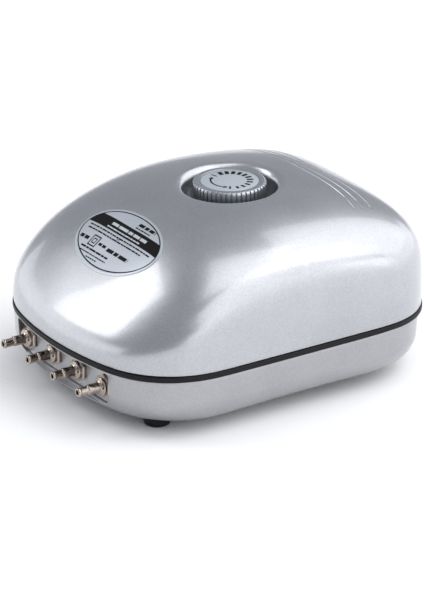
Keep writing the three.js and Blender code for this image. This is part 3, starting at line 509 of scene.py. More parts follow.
# %% Rubber and other moulded finishes
def moulded(name, dark, light, roughness, grain_mm, depth=0.15, **constants):
    material, tree, shader, place = new_finish(name, **constants)
    grain = add(tree, "TexNoise", {"Vector": place, "Scale": 1 / grain_mm, "Detail": 5.0}).outputs[0]
    broad = add(tree, "TexNoise", {"Vector": place, "Scale": 0.08, "Detail": 2.0}).outputs[0]
    tone = mix_colours(tree, broad, linear(dark), linear(light))
    tree.links.new(tone, shader.inputs["Base Color"])
    rough = spread(tree, grain, 0.3, 0.7, roughness - 0.06, roughness + 0.06)
    tree.links.new(rough, shader.inputs["Roughness"])
    bump = add(tree, "Bump", {"Height": grain, "Strength": depth, "Distance": 0.0002})
    tree.links.new(bump.outputs[0], shader.inputs["Normal"])
    return material


band_rubber = moulded("moulded EPDM rubber, band", "#0a090c", "#100f13", 0.5, 0.8, IOR=1.5,
                      Specular_IOR_Level=0.25)
foot_rubber = moulded("moulded nitrile rubber, feet", "#08080a", "#0f0f11", 0.55, 0.7, IOR=1.5,
                      Specular_IOR_Level=0.3)
bush_rubber = moulded("moulded natural rubber, bushes", "#1a1918", "#262422", 0.65, 0.9, IOR=1.5)
black_nylon = moulded("glass-filled black nylon", "#191a1c", "#26272a", 0.45, 0.6, IOR=1.53)
white_nylon = moulded("natural nylon mouldings", "#d9d5c6", "#ebe8dd", 0.45, 0.7, IOR=1.53)
silicone = moulded("extruded silicone tube", "#cfd4d4", "#e3e6e6", 0.3, 1.2, IOR=1.43,
                   Subsurface_Weight=0.2)


# %% [markdown]
# ## Metals
# The nozzles are turned brass with bright nickel plating, which reads as a warm mirror. The other
# metals are zinc-plated steel, cast aluminium and ground ferrite. Each is a full metal whose grain
# is a noise stretched the way its surface was worked: round the bar for turning, one way for
# grinding, and evenly for plating and tumbling.

# %% Metals
def metal(name, dark, light, roughness, stretch, grain_mm, depth=0.05):
    material, tree, shader, place = new_finish(name, Metallic=1.0)
    lay = add(tree, "VectorMath", {0: place, 1: stretch}, operation="MULTIPLY").outputs[0]
    grain = add(tree, "TexNoise", {"Vector": lay, "Scale": 1 / grain_mm, "Detail": 4.0}).outputs[0]
    broad = add(tree, "TexNoise", {"Vector": place, "Scale": 0.15, "Detail": 2.0}).outputs[0]
    tone = mix_colours(tree, broad, linear(dark), linear(light))
    tree.links.new(tone, shader.inputs["Base Color"])
    rough = spread(tree, grain, 0.3, 0.7, roughness * 0.8, roughness * 1.25)
    tree.links.new(rough, shader.inputs["Roughness"])
    bump = add(tree, "Bump", {"Height": grain, "Strength": depth, "Distance": 0.0001})
    tree.links.new(bump.outputs[0], shader.inputs["Normal"])
    return material


EVEN = (1.0, 1.0, 1.0)
TURNED_ROUND_Y = (0.3, 3, 0.3)
GROUND_ALONG_X = (0.2, 4, 1)
nickel = metal("bright nickel plating on turned brass", "#a1958b", "#c2b6ab", 0.13, TURNED_ROUND_Y, 0.5)
zinc = metal("zinc plating on pressed steel", "#9fa3a6", "#b6babc", 0.32, EVEN, 1.5)
screw_steel = metal("zinc-plated screw steel", "#8f9396", "#a9adaf", 0.28, EVEN, 0.8)
aluminium = metal("tumbled cast aluminium", "#a9acb0", "#bec1c4", 0.38, EVEN, 0.7, 0.15)
ferrite = metal("ground ferrite magnet", "#2e2f31", "#3c3d40", 0.5, GROUND_ALONG_X, 0.8, 0.1)
print("metals:", ", ".join(m.name for m in (nickel, zinc, screw_steel, aluminium, ferrite)))


# %% [markdown]
# ## Core, coils, board and felt
# The core is a stack of half-millimetre steel sheets and each coil is wound from round wire. Every
# sheet and turn could be modelled, but the case hides them, and both read as stripes. So one wave
# texture draws them, with a period of the sheet's or the wire's thickness. The felt is a pale matt
# mat of fibres, and the board shows its tracks faintly through green solder mask.

# %% Laminated core, copper wire, felt and circuit board
def striped(name, dark, light, period_mm, axis, roughness, **constants):
    material, tree, shader, place = new_finish(name, **constants)
    inputs = {"Vector": place, "Scale": math.pi / (10 * period_mm), "Distortion": 0.3}
    wave = add(tree, "TexWave", inputs, bands_direction=axis).outputs[1]
    tree.links.new(mix_colours(tree, wave, linear(dark), linear(light)), shader.inputs["Base Color"])
    rough = spread(tree, wave, 0.0, 1.0, roughness + 0.1, roughness)
    tree.links.new(rough, shader.inputs["Roughness"])
    bump = add(tree, "Bump", {"Height": wave, "Strength": 0.6, "Distance": 0.0003})
    tree.links.new(bump.outputs[0], shader.inputs["Normal"])
    return material


core_steel = striped("varnished silicon-steel laminations", "#3c3e43", "#5a5c61", 0.5, "Z", 0.45,
                     Metallic=0.7)
copper_wire = striped("enamelled copper wire", "#7c3417", "#c06a35", 0.8, "X", 0.3,
                      Metallic=0.85, Coat_Weight=0.6, Coat_Roughness=0.12)
felt = moulded("needled polyester felt", "#dcd8cb", "#f2efe6", 0.9, 0.4, 0.8, Sheen_Weight=0.5)


def circuit_board_finish():
    material, tree, shader, place = new_finish(
        "green solder mask on glass epoxy", Roughness=0.35, Coat_Weight=0.3, IOR=1.5
    )
    tracks = add(tree, "TexBrick", {
        "Vector": place, "Color1": linear("#1f5a33"), "Color2": linear("#2b6c3f"),
        "Mortar": linear("#17452a"), "Scale": 0.12, "Mortar Size": 0.03,
    })
    tree.links.new(tracks.outputs[0], shader.inputs["Base Color"])
    bump = add(tree, "Bump", {"Height": tracks.outputs[1], "Strength": 0.2, "Distance": 0.0001})
    tree.links.new(bump.outputs[0], shader.inputs["Normal"])
    return material


board_green = circuit_board_finish()


# %% [markdown]
# ## Films and inks
# The label is a silver polyester film and the knob's plate a printed aluminium disc; both have a
# faint grain and a satin lacquer. Screen ink lies on them matt and dense, so it mirrors little.

# %% Label film and printing inks
def film(name, dark, light, roughness, metallic, coat=0.3, specular=0.5):
    material, tree, shader, place = new_finish(
        name, Metallic=metallic, IOR=1.45, Coat_Weight=coat, Coat_Roughness=0.1,
        Specular_IOR_Level=specular,
    )
    grain = add(tree, "TexNoise", {"Vector": place, "Scale": 1.6, "Detail": 4.0}).outputs[0]
    tree.links.new(mix_colours(tree, grain, linear(dark), linear(light)), shader.inputs["Base Color"])
    rough = spread(tree, grain, 0.3, 0.7, roughness - 0.04, roughness + 0.04)
    tree.links.new(rough, shader.inputs["Roughness"])
    return material


label_film = film("silver polyester label film", "#aeb4bc", "#bcc2c9", 0.34, 0.35)
disc_film = film("printed aluminium disc", "#bac2ca", "#c6cdd4", 0.34, 0.4)
black_ink = film("black screen-printing ink", "#050406", "#0b0a0c", 0.5, 0.0, 0.0, 0.15)
pale_ink = film("silver screen-printing ink", "#b5b9bf", "#c4c8ce", 0.4, 0.2)


# %% [markdown]
# ## The cover
# The real cover is one injection moulding. It could be modelled from a box and smoothed by
# subdivision, but its highlights would wander with every edge loop. Here it is a skin of rings
# round the knob's centre: up the wall, over the dome, down a rounded lip into the well, and back
# along the inside, so the mesh is closed and as smooth as the formula it comes from.

# %% Rings of the cover
AROUND = 320
WELL_RADIUS, WELL_LIP, WELL_FLOOR = 23.6, 5.2, 79.0
SHAFT_HOLE_RADIUS = 4.8
COVER_WALL = 2.6
turn = np.linspace(0, 2 * math.pi, AROUND, endpoint=False)
compass = np.stack([np.cos(turn), np.sin(turn)], axis=-1)
wall_reach = plan_radius_from(KNOB_Y, turn)


# A ring at a distance from the knob's axis, with a height for each point.
def ring_at(reach, height):
    flat = compass * np.broadcast_to(reach, (AROUND,))[:, None] + np.array([0.0, KNOB_Y])
    z = height(flat[:, 0], flat[:, 1]) if callable(height) else np.full(AROUND, float(height))
    return np.column_stack([flat, z])


# Rings over the dome from the wall in to the well, evenly spaced along the surface.
def dome_rings(count, inner_reach, inset, drop, lowest):
    sweep = np.sin(np.linspace(math.pi / 2, 0, 700))
    outer = wall_reach - inset
    height = lambda x, y: dome_height(x, y, inset, drop)
    dense = np.stack([ring_at(inner_reach + (outer - inner_reach) * s, height) for s in sweep])
    dense[..., 2] = np.maximum(dense[..., 2], lowest)
    steps = np.linalg.norm(np.diff(dense, axis=0), axis=-1)
    travelled = np.concatenate([np.zeros((1, AROUND)), np.cumsum(steps, axis=0)])
    rings = np.empty((count, AROUND, 3))
    for j in range(AROUND):
        marks = np.linspace(0, travelled[-1, j], count)
        for axis in range(3):
            rings[:, j, axis] = np.interp(marks, travelled[:, j], dense[:, j, axis])
    return list(rings)


# The cover's section from its rim up the wall, over the dome, into the well and back inside.
def cover_rings():
    rim = BAND_TOP + GAP
    rings = [
        ring_at(wall_reach - COVER_INSET - COVER_WALL, rim),
        ring_at(wall_reach - COVER_INSET - 0.55, rim),
        ring_at(wall_reach - COVER_INSET - 0.16, rim + 0.12),
        ring_at(wall_reach - COVER_INSET, rim + 0.5),
    ]
    lip_reach = WELL_RADIUS + WELL_LIP
    rings += dome_rings(120, lip_reach, COVER_INSET, 0, rim + 0.5)[1:]
    for bend in np.linspace(0, math.pi / 2, 11)[1:]:
        reach = lip_reach - WELL_LIP * math.sin(bend)
        fall = WELL_LIP * (1 - math.cos(bend))
        rings.append(ring_at(reach, lambda x, y, fall=fall: dome_height(x, y) - fall))
    rings += [ring_at(WELL_RADIUS, WELL_FLOOR + 1.5), ring_at(WELL_RADIUS - 0.4, WELL_FLOOR + 0.4)]
    hole = SHAFT_HOLE_RADIUS
    rings += [ring_at(WELL_RADIUS - 1.5, WELL_FLOOR), ring_at(hole + 0.1, WELL_FLOOR)]
    rings += [ring_at(hole, WELL_FLOOR - 0.2), ring_at(hole, WELL_FLOOR - COVER_WALL)]
    cup = WELL_RADIUS + COVER_WALL
    rings += [ring_at(cup, WELL_FLOOR - COVER_WALL), ring_at(cup, WELL_FLOOR + 4)]
    rings += dome_rings(24, cup, COVER_INSET + COVER_WALL, COVER_WALL, rim)[::-1]
    return rings


# %% [markdown]
# Three narrow grooves cross the rear of the dome. They are only a millimetre wide, far finer than
# the rings, so the faces near them are divided twice and then pressed in along a rounded trough.

# %% Press the grooves into the cover
GROOVE_YS = (53.4, 58.3, 63.8)
GROOVE_HALF_LENGTH = 48.5
GROOVE_HALF_WIDTH = 0.55
GROOVE_DEPTH = 0.6
GROOVE_SHIFT, GROOVE_BEND = 0.5, 2.2  # middle set back by the first, ends forward by the second


# How far points lie from the nearest groove's centre line; the ends bend to the front.
def groove_distance(x, y):
    over = np.maximum(np.abs(x) - GROOVE_HALF_LENGTH, 0.0)
    bend = GROOVE_SHIFT - GROOVE_BEND * np.minimum(np.abs(x) / GROOVE_HALF_LENGTH, 1.0) ** 5
    return np.min([np.hypot(over, y - groove_y - bend) for groove_y in GROOVE_YS], axis=0)


# A mesh's points in millimetres from the middle of the case.
def points_of(work):
    return np.array([vertex.co[:] for vertex in work.verts]) / MM - np.array([0.0, CASE_Y, 0.0])


def press_grooves(piece):
    work = bmesh.new()
    work.from_mesh(piece.data)
    coarse_margin, fine_margin = 2.4, 1.3
    for margin in (coarse_margin, fine_margin):
        work.verts.ensure_lookup_table()
        points = points_of(work)
        near = (groove_distance(points[:, 0], points[:, 1]) < margin) & (points[:, 2] > WELL_FLOOR)
        edges = [e for e in work.edges if near[e.verts[0].index] or near[e.verts[1].index]]
        bmesh.ops.subdivide_edges(work, edges=edges, cuts=1, use_grid_fill=True)
        work.verts.index_update()
    points = points_of(work)
    distance = groove_distance(points[:, 0], points[:, 1])
    surface = dome_height(points[:, 0], points[:, 1])
    depth = GROOVE_DEPTH * np.cos(np.minimum(distance / GROOVE_HALF_WIDTH, 1) * math.pi / 2)
    outside = (points[:, 2] > surface - COVER_WALL / 2) & (points[:, 2] > WELL_FLOOR)
    outside = outside & (distance < coarse_margin + 0.6)
    for vertex, moves, top, down in zip(work.verts, outside, surface, depth):
        if moves:
            vertex.co.z = (top - down) * MM
    work.to_mesh(piece.data)
    work.free()


def make_cover():
    vertices, faces = skin(cover_rings(), closed=True)
    cover = mesh_object("cover_shell", vertices, faces, cover_paint, 50)
    outward(cover)
    press_grooves(cover)
    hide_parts("top_cover")
    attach(cover, "case")
    return cover


cover = make_cover()
print("cover:", len(cover.data.polygons), "faces")


# %% [markdown]
# ## The rubber band
# An extruded seal, squeezed between the shells. Only its bead shows: a flat-faced strip with soft
# edges that stands a little proud of the paint.


# %% Rubber band
BAND_DEPTH, BAND_LIP_INSET, BAND_LIP_HEIGHT = 4.8, 3.3, 2.2


def swept_ring(inset, z):
    return np.column_stack([
        compass * (wall_reach - inset)[:, None] + np.array([0.0, KNOB_Y]), np.full(AROUND, z)
    ])


def make_band():
    top, bottom = BAND_TOP, BAND_BOTTOM
    lip_top = top + BAND_LIP_HEIGHT
    corners = [
        (BAND_DEPTH, bottom), (0.0, bottom), (0.0, top),
        (BAND_LIP_INSET, top), (BAND_LIP_INSET, lip_top), (BAND_DEPTH, lip_top),
    ]
    section = eased(corners, 0.5, steps=4, closed=True)
    vertices, faces = skin([swept_ring(inset, z) for inset, z in section], closed=True)
    band = outward(mesh_object("band_seal", vertices, faces, band_rubber))
    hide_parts("cover_gasket")
    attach(band, "case")
    return band


print("band:", len(make_band().data.polygons), "faces")


# %% [markdown]
# ## The tray
# The lower moulding has nearly upright walls, a large quarter-round down to its floor, and a flat
# recess at the front for the outlets. The recess has a rounded lip that follows the bowed wall, so
# it is cut with a tool that flares out along that lip, as the steel of the mould would.

# %% Tray walls
TRAY_INSET, TRAY_REAR_INSET, TRAY_WALL = 0.5, 1.7, 2.4
TRAY_FILLET, TRAY_DRAFT = 14.0, 0.6
TRAY_FLOOR_THICKNESS = 2.6
TRAY_TOP = BAND_BOTTOM - GAP
REAR_FADE_FROM, REAR_FADE_SPAN = 0.3, 0.6  # sines of the angle over which the rear inset grows
FLOOR_REACH = 60  # inset of the last ring before the middle of the floor


# Inset of the tray's outside wall at a height.
def tray_inset(z):
    low = min(z - TRAY_BOTTOM, TRAY_FILLET)
    curl = TRAY_FILLET * (1 - math.sqrt(1 - (1 - low / TRAY_FILLET) ** 2))
    draft = TRAY_DRAFT * min((TRAY_TOP - z) / (TRAY_TOP - TRAY_BOTTOM - TRAY_FILLET), 1.0)
    return TRAY_INSET + curl + draft


# A ring of the tray at an inset from the outline, drawn further in at the rear.
def tray_ring(inset, z):
    rear = np.clip((np.sin(turn) - REAR_FADE_FROM) / REAR_FADE_SPAN, 0, 1)
    rear = rear * rear * (3 - 2 * rear) * TRAY_REAR_INSET
    reach = np.maximum(wall_reach - inset - rear, 0.1)
    return np.column_stack([compass * reach[:, None] + np.array([0.0, KNOB_Y]), np.full(AROUND, z)])


def tray_outside():
    rings = [tray_ring(TRAY_INSET + 0.5, TRAY_TOP), tray_ring(TRAY_INSET + 0.14, TRAY_TOP - 0.12)]
    fillet_top = TRAY_BOTTOM + TRAY_FILLET
    rings += [tray_ring(tray_inset(z), z) for z in np.linspace(TRAY_TOP - 0.5, fillet_top, 8)]
    for bend in np.linspace(0, math.pi / 2, 18)[1:]:
        inset = TRAY_INSET + TRAY_DRAFT + TRAY_FILLET * (1 - math.cos(bend))
        rings.append(tray_ring(inset, TRAY_BOTTOM + TRAY_FILLET * (1 - math.sin(bend))))
    edge = TRAY_INSET + TRAY_DRAFT + TRAY_FILLET
    rings += [tray_ring(edge + (FLOOR_REACH - edge) * share, TRAY_BOTTOM) for share in (0.3, 0.7)]
    return rings


def tray_inside():
    floor = TRAY_BOTTOM + TRAY_FLOOR_THICKNESS
    inner = [tray_ring(TRAY_INSET + TRAY_DRAFT + TRAY_FILLET + 35, floor)]
    for bend in np.linspace(math.pi / 2, 0, 7):
        round_in = TRAY_FILLET - TRAY_WALL
        inset = TRAY_INSET + TRAY_DRAFT + TRAY_WALL + round_in * (1 - math.cos(bend))
        inner.append(tray_ring(inset, floor + round_in * (1 - math.sin(bend))))
    return inner + [tray_ring(TRAY_INSET + TRAY_WALL, TRAY_TOP)]


# A whole ring gathered at its centre, which closes a skin without a cap.
def gathered(ring):
    return np.tile(ring.mean(axis=0), (AROUND, 1))


# %% [markdown]
# ### The recess
# The mould's steel leaves the recess behind when the tray is pulled off it. A boolean does the
# same job: a closed cutter, its outline straight at the back and flared in front along the lip.

# %% Cutting tools for the tray
RECESS_HALF, RECESS_LOW, RECESS_HIGH = 42.0, 12.2, 30.2
RECESS_ROUND_LOW, RECESS_ROUND_HIGH = 8.0, 2.0
RECESS_LIP = 0.7
panel_low, panel_high = node_box("outlet_panel")
PANEL_Y = panel_low[1]
RECESS_BACK = panel_high[1] + GAP


# Outline of the recess in X and Z, grown by an amount.
def recess_outline(grow):
    half, low, high = RECESS_HALF + grow, RECESS_LOW - grow, RECESS_HIGH + grow
    points = []
    corners = [
        (half, low, RECESS_ROUND_LOW + grow, -90, 1), (half, high, RECESS_ROUND_HIGH + grow, 0, 1),
        (-half, high, RECESS_ROUND_HIGH + grow, 90, -1), (-half, low, RECESS_ROUND_LOW + grow, 180, -1),
    ]
    for x, z, radius, start, side in corners:
        inward = -1 if z == high else 1
        for angle in np.radians(np.linspace(start, start + 90, 9)):
            cx, cz = x - side * radius, z + inward * radius
            points.append((cx + radius * math.cos(angle), cz + radius * math.sin(angle)))
    return points


# The front wall's place on Y at a point of the recess outline.
def front_wall_y(x, z):
    reach = FRONT_RADIUS - tray_inset(z)
    return front_centre[1] - math.sqrt(reach**2 - x**2)


def recess_cutter():
    rings = [[(x, -OUTSIDE, z) for x, z in recess_outline(RECESS_LIP)]]
    for bend in np.linspace(0, math.pi / 2, 6):
        outline = recess_outline(RECESS_LIP * (1 - math.sin(bend)))
        sink = RECESS_LIP * (1 - math.cos(bend))
        rings.append([(x, front_wall_y(x, z) + sink, z) for x, z in outline])
    rings.append([(x, RECESS_BACK, z) for x, z in recess_outline(0)])
    vertices, faces = skin(rings, capped=True)
    return outward(mesh_object("recess_cutter", vertices, faces, tray_paint))


# A round bar that cuts a hole.
def rod(name, axis, radius, start, end, centre, steps=40):
    rings = turned_rings(axis, [(radius, start), (radius, end)], centre, steps)
    vertices, faces = skin(rings, capped=True)
    return outward(mesh_object(name, vertices, faces, tray_paint))


# Joins, cuts or intersects a piece with a tool, which is then thrown away.
def combine(piece, tool, operation):
    modifier = piece.modifiers.new("cut", "BOOLEAN")
    modifier.object = tool
    modifier.operation = operation
    modifier.solver = "MANIFOLD"
    bpy.context.view_layer.objects.active = piece
    bpy.ops.object.modifier_apply(modifier=modifier.name)
    bpy.data.objects.remove(tool)


def block(name, low, high, material):
    work = bmesh.new()
    bmesh.ops.create_cube(work, size=1)
    middle = [(a + b) / 2 for a, b in zip(low, high)]
    middle[1] += CASE_Y
    for vertex in work.verts:
        for axis in range(3):
            vertex.co[axis] = (middle[axis] + vertex.co[axis] * (high[axis] - low[axis])) * MM
    mesh = bpy.data.meshes.new(name)
    work.to_mesh(mesh)
    work.free()
    mesh.materials.append(material)
    piece = bpy.data.objects.new(name, mesh)
    bpy.context.scene.collection.objects.link(piece)
    return piece


# %% [markdown]
# ### Putting the tray together
# The shell is one skin of rings. A block is trimmed to the shell's outside and joined to it as the
# thick wall behind the recess, and then the recess and every hole are cut.

# %% Make the tray
OUTLET_WALL_HALF, OUTLET_WALL_REAR, OUTLET_WALL_LOW = 44.5, -83.2, 6.5
NOZZLE_HOLE, GLAND_HOLE, FILTER_HOLE, SCREW_HOLE = 3.2, 5.7, 16, 3.4  # radii
NOZZLES = ["outlet_nozzle_1", "outlet_nozzle_2", "outlet_nozzle_3", "outlet_nozzle_4"]


def node_centre(name):
    low, high = node_box(name)
    return [(a + b) / 2 for a, b in zip(low, high)]


# A closed skin of rings with the doubled points of its gathered rings merged.
def welded(name, rings):
    piece = mesh_object(name, *skin(rings, closed=True), tray_paint, 40)
    work = bmesh.new()
    work.from_mesh(piece.data)
    bmesh.ops.remove_doubles(work, verts=work.verts, dist=1e-6)
    bmesh.ops.dissolve_degenerate(work, edges=work.edges, dist=1e-7)
    bmesh.ops.recalc_face_normals(work, faces=work.faces)
    work.to_mesh(piece.data)
    work.free()
    return piece


def make_tray():
    outside, inside = tray_outside(), tray_inside()
    floor_rings = [gathered(outside[-1]), gathered(inside[0])]
    tray = welded("tray_shell", outside + floor_rings + inside)
    low = (-OUTLET_WALL_HALF, -95.0, OUTLET_WALL_LOW)
    high = (OUTLET_WALL_HALF, OUTLET_WALL_REAR, TRAY_TOP - 0.6)
    rib = block("outlet_wall", low, high, tray_paint)
    solid = welded("tray_solid", outside + [gathered(outside[-1]), gathered(outside[0])])
    combine(rib, solid, "INTERSECT")
    combine(tray, rib, "UNION")
    combine(tray, recess_cutter(), "DIFFERENCE")
    for name in NOZZLES:
        x, _, z = node_centre(name)
        combine(tray, rod("bore", "y", NOZZLE_HOLE, -100, -80, (x, z)), "DIFFERENCE")
    x, _, z = node_centre("cable_gland")
    combine(tray, rod("gland_bore", "y", GLAND_HOLE, 80, OUTSIDE, (x, z)), "DIFFERENCE")
    x, y, _ = node_centre("filter_felt")
    combine(tray, rod("filter_bore", "z", FILTER_HOLE, 0, 12, (x, y)), "DIFFERENCE")
    for name in [n for n in frame["nodes"] if n.startswith("base_screw")]:
        x, y, _ = node_centre(name)
        combine(tray, rod("screw_bore", "z", SCREW_HOLE, 0, 12, (x, y)), "DIFFERENCE")
    tray.data.set_sharp_from_angle(angle=math.radians(35))
    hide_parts("base_tray")
    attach(tray, "case")
    return tray


tray = make_tray()
print("tray:", len(tray.data.polygons), "faces")


# %% [markdown]
# ## Outlet panel
# A flat insert with a fine edge, pressed into the recess. Its outline is the recess's own, drawn
# in by the fit, so the two can't drift apart.


# %% Outlet panel
def make_panel():
    rows = [
        (GAP, panel_high[1]), (GAP, PANEL_Y + 0.25), (GAP + 0.08, PANEL_Y + 0.08),
        (2 * GAP, PANEL_Y),
    ]
    rings = [[(x, y, z) for x, z in recess_outline(-shrink)] for shrink, y in rows]
    vertices, faces = skin(rings, capped=True)
    panel = outward(mesh_object("panel_insert", vertices, faces, tray_paint))
    for name in NOZZLES:
        x, _, z = node_centre(name)
        combine(panel, rod("bore", "y", NOZZLE_HOLE, -95, -80, (x, z)), "DIFFERENCE")
    panel.data.set_sharp_from_angle(angle=math.radians(35))
    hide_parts("outlet_panel")
    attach(panel, "case")
    return panel


print("panel:", len(make_panel().data.polygons), "faces")


# %% [markdown]
# ## Nozzles
# Each nozzle is turned from brass bar: a hexagon to hold with a spanner, a rounded collar with a
# small punched dimple, and a tube in two steps that the airline is pushed over. A lathe profile
# makes the round part, and the hexagon is added to it.

# %% Nozzles
# The profile is [radius, distance in front of the panel], from the tail out to the tip.
def make_nozzle(name):
    low, high = node_box(name)
    x, z = (low[0] + high[0]) / 2, (low[2] + high[2]) / 2
    tip, bore = low[1], 1.25
    reach = PANEL_Y - tip
    outside = [
        (bore, -11), (2.9, -11), (2.9, 1.0), (4.55, 1.0), (4.75, 1.6), (4.75, 2.9), (4.45, 3.3),
        (3.5, 3.45), (3.1, 3.7), (2.55, 4.2), (2.55, 10.2), (2.2, 10.75), (2.12, 11.1), (2.12, 14.7),
        (2.32, 15.1), (2.32, 15.8), (2.05, reach), (bore + 0.2, reach), (bore, reach - 0.3),
    ]
    profile = [(radius, PANEL_Y - s) for radius, s in outside]
    rings = turned_rings("y", eased(profile, 0.18, closed=True), (x, z), 56)
    vertices, faces = skin(rings, closed=True)
    nozzle = outward(mesh_object(name + "_turned", vertices, faces, nickel, 30))
    hexagon = []
    for radius, s in ((5.7, 0.1), (6.4, 0.4), (6.4, 1.3), (5.7, 1.7)):
        for corner in range(6):
            angle = math.radians(60 * corner)
            hexagon.append((x + radius * math.sin(angle), PANEL_Y - s, z + radius * math.cos(angle)))
    rings = [hexagon[i : i + 6] for i in range(0, 24, 6)]
    vertices, faces = skin(rings, capped=True)
    flange = outward(mesh_object("flange", vertices, faces, nickel, 20))
    combine(flange, rod("flange_bore", "y", 2.7, -95, -80, (x, z)), "DIFFERENCE")
    combine(nozzle, flange, "UNION")
    dimple = rod("dimple", "y", 0.65, PANEL_Y - 4.6, PANEL_Y - 2.2, (x + 3.6, z + 0.4), 16)
    combine(nozzle, dimple, "DIFFERENCE")
    nozzle.data.set_sharp_from_angle(angle=math.radians(30))
    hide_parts(name)
    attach(nozzle, "case")
    return nozzle


for name in NOZZLES:
    print(name, len(make_nozzle(name).data.polygons), "faces")


# %% [markdown]
# ## The control knob
# A moulded knob with straight ribs for grip, a rounded top edge and a shallow seat for a printed
# disc. It turns with its shaft, so everything on it rides on the knob's own body.

# %% Knob
KNOB_RIBS, RIB_DEPTH = 46, 0.95
KNOB_AROUND = KNOB_RIBS * 16
SHAFT_BORE = 3.3
disc_low, disc_high = node_box("knob_disc")
DISC_RADIUS = (disc_high[0] - disc_low[0]) / 2


# A ring with broad flat ribs and narrow valleys between them, rib_depth deep.
def knob_ring(radius, z, rib_depth):
    angle = np.linspace(0, 2 * math.pi, KNOB_AROUND, endpoint=False)
    wave = np.cos(angle * KNOB_RIBS)
    rib = np.clip(2.2 - 2.8 * wave, 0, 1)
    rib = rib * rib * (3 - 2 * rib)
    reach = radius - rib_depth * (1 - rib)
    x, y = reach * np.cos(angle), KNOB_Y + reach * np.sin(angle)
    return np.column_stack([x, y, np.full(KNOB_AROUND, z)])


def make_knob():
    top, low, r = knob_high[2], knob_low[2], KNOB_RADIUS
    seat = DISC_RADIUS + 0.25
    rows = [
        (SHAFT_BORE, low, 0), (r - 0.8, low, 0.2),
        (r - 0.1, low + 0.5, RIB_DEPTH), (r, low + 1.2, RIB_DEPTH),
        (r, top - 1.4, RIB_DEPTH), (r - 0.05, top - 1.0, RIB_DEPTH),
        (r - 0.2, top - 0.6, RIB_DEPTH * 0.95), (r - 0.42, top - 0.3, RIB_DEPTH * 0.8),
        (r - 0.75, top - 0.1, RIB_DEPTH * 0.5), (r - 1.15, top, 0.1), (r - 1.6, top, 0),
        (seat + 0.2, top, 0), (seat, top - 0.15, 0),
        (seat, top - 0.9, 0), (SHAFT_BORE, top - 0.9, 0),
    ]
    vertices, faces = skin([knob_ring(*row) for row in rows], closed=True)
    knob = outward(mesh_object("knob_moulding", vertices, faces, knob_plastic, 40))
    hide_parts("control_knob")
    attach(knob, "knob")
    return knob


print("knob:", len(make_knob().data.polygons), "faces")


# %% [markdown]
# ## The printed disc
# A punched aluminium plate glued into the seat, turned here from a five-point profile so that its
# upper edge keeps the small bevel that the punch leaves.

# %% Printed disc
def make_disc():
    top, low = disc_high[2], disc_low[2]
    profile = [(0.4, low), (DISC_RADIUS, low), (DISC_RADIUS, top - 0.12), (DISC_RADIUS - 0.25, top),
               (0.4, top)]
    rings = turned_rings("z", profile, (0, KNOB_Y), 96)
    vertices, faces = skin(rings, capped=True)
    disc = outward(mesh_object("knob_plate", vertices, faces, disc_film, 30))
    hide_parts("knob_disc")
    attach(disc, "knob")
    return disc


print("disc:", len(make_disc().data.polygons), "faces")


# %% [markdown]
# ## Printing
# Ink is a real layer, so it is drawn as thin sheets a few hundredths of a millimetre above the
# film. The knob's disc gets a generic scale, ticks that grow longer as the flow opens and a curved
# two-headed arrow. The label gets a ring, a dark stripe, rows of plain bars in place of text, and
# the double square that marks a doubly insulated appliance.


# %% Sheets of ink
INK_LIFT = 0.03  # millimetres from the surface to the ink


# A sheet is a grid of points in the print's own plane; place() sets them on the surface.
def ink_sheets(name, grids, place, material):
    vertices, faces = [], []
    for grid in grids:
        rows, columns, _ = np.shape(grid)
        start = len(vertices)
        vertices += [place(u, v) for row in grid for u, v in row]
        for i in range(rows - 1):
            for j in range(columns - 1):
                a = start + i * columns + j
                faces.append((a, a + 1, a + columns + 1, a + columns))
    return mesh_object(name, vertices, faces, material, 60)


# A ring or arc of constant width between two angles, on an ellipse.
def ink_arc(half_u, half_v, width, start, end, steps=96):
    grid = []
    for angle in np.radians(np.linspace(start, end, steps + 1)):
        direction = np.array([math.cos(angle), math.sin(angle)])
        grid.append([
            ((half_u - width / 2) * direction[0], (half_v - width / 2) * direction[1]),
            ((half_u + width / 2) * direction[0], (half_v + width / 2) * direction[1]),
        ])
    return grid


def ink_bar(u0, v0, u1, v1, slant=0.0):
    steps = max(int(abs(u1 - u0) / 2.5), 1)
    rows = max(int(abs(v1 - v0) / 1.2), 1)
    grid = []
    for i in range(rows + 1):
        v = v0 + (v1 - v0) * i / rows
        grid.append([(u0 + (u1 - u0) * j / steps + slant * (v - v0), v) for j in range(steps + 1)])
    return grid


# %% [markdown]
# ### The scale on the knob
# Plain ticks and an arrow, with no lettering. They are laid out by angle round the knob's centre,
# as a draughtsman would set out a dial.

# %% Scale on the knob's disc
TICKS, FIRST_TICK, TICK_STEP = 11, -12, 18.5  # count, then degrees
ARROW_RADIUS, ARROW_FROM, ARROW_TO = 9.6, 225, 308


def on_disc(u, v):
    return (u, KNOB_Y + v, disc_high[2] + INK_LIFT)


def radial_bar(angle, inner, outer, half_width):
    out = np.array([math.cos(math.radians(angle)), math.sin(math.radians(angle))])
    side = np.array([-out[1], out[0]]) * half_width
    return [[tuple(out * inner - side), tuple(out * outer - side)],
            [tuple(out * inner + side), tuple(out * outer + side)]]


# A triangle whose point is a very short fourth side, so that it is a sheet like the others.
def arrow_head(angle, radius, turning):
    centre = math.radians(angle)
    tip = math.radians(angle + turning * 14)
    base = [(radius + d) * np.array([math.cos(centre), math.sin(centre)]) for d in (-1.4, 1.4)]
    point = radius * np.array([math.cos(tip), math.sin(tip)])
    return [[tuple(base[0]), tuple(base[1])], [tuple(point), tuple(point * 1.001)]]


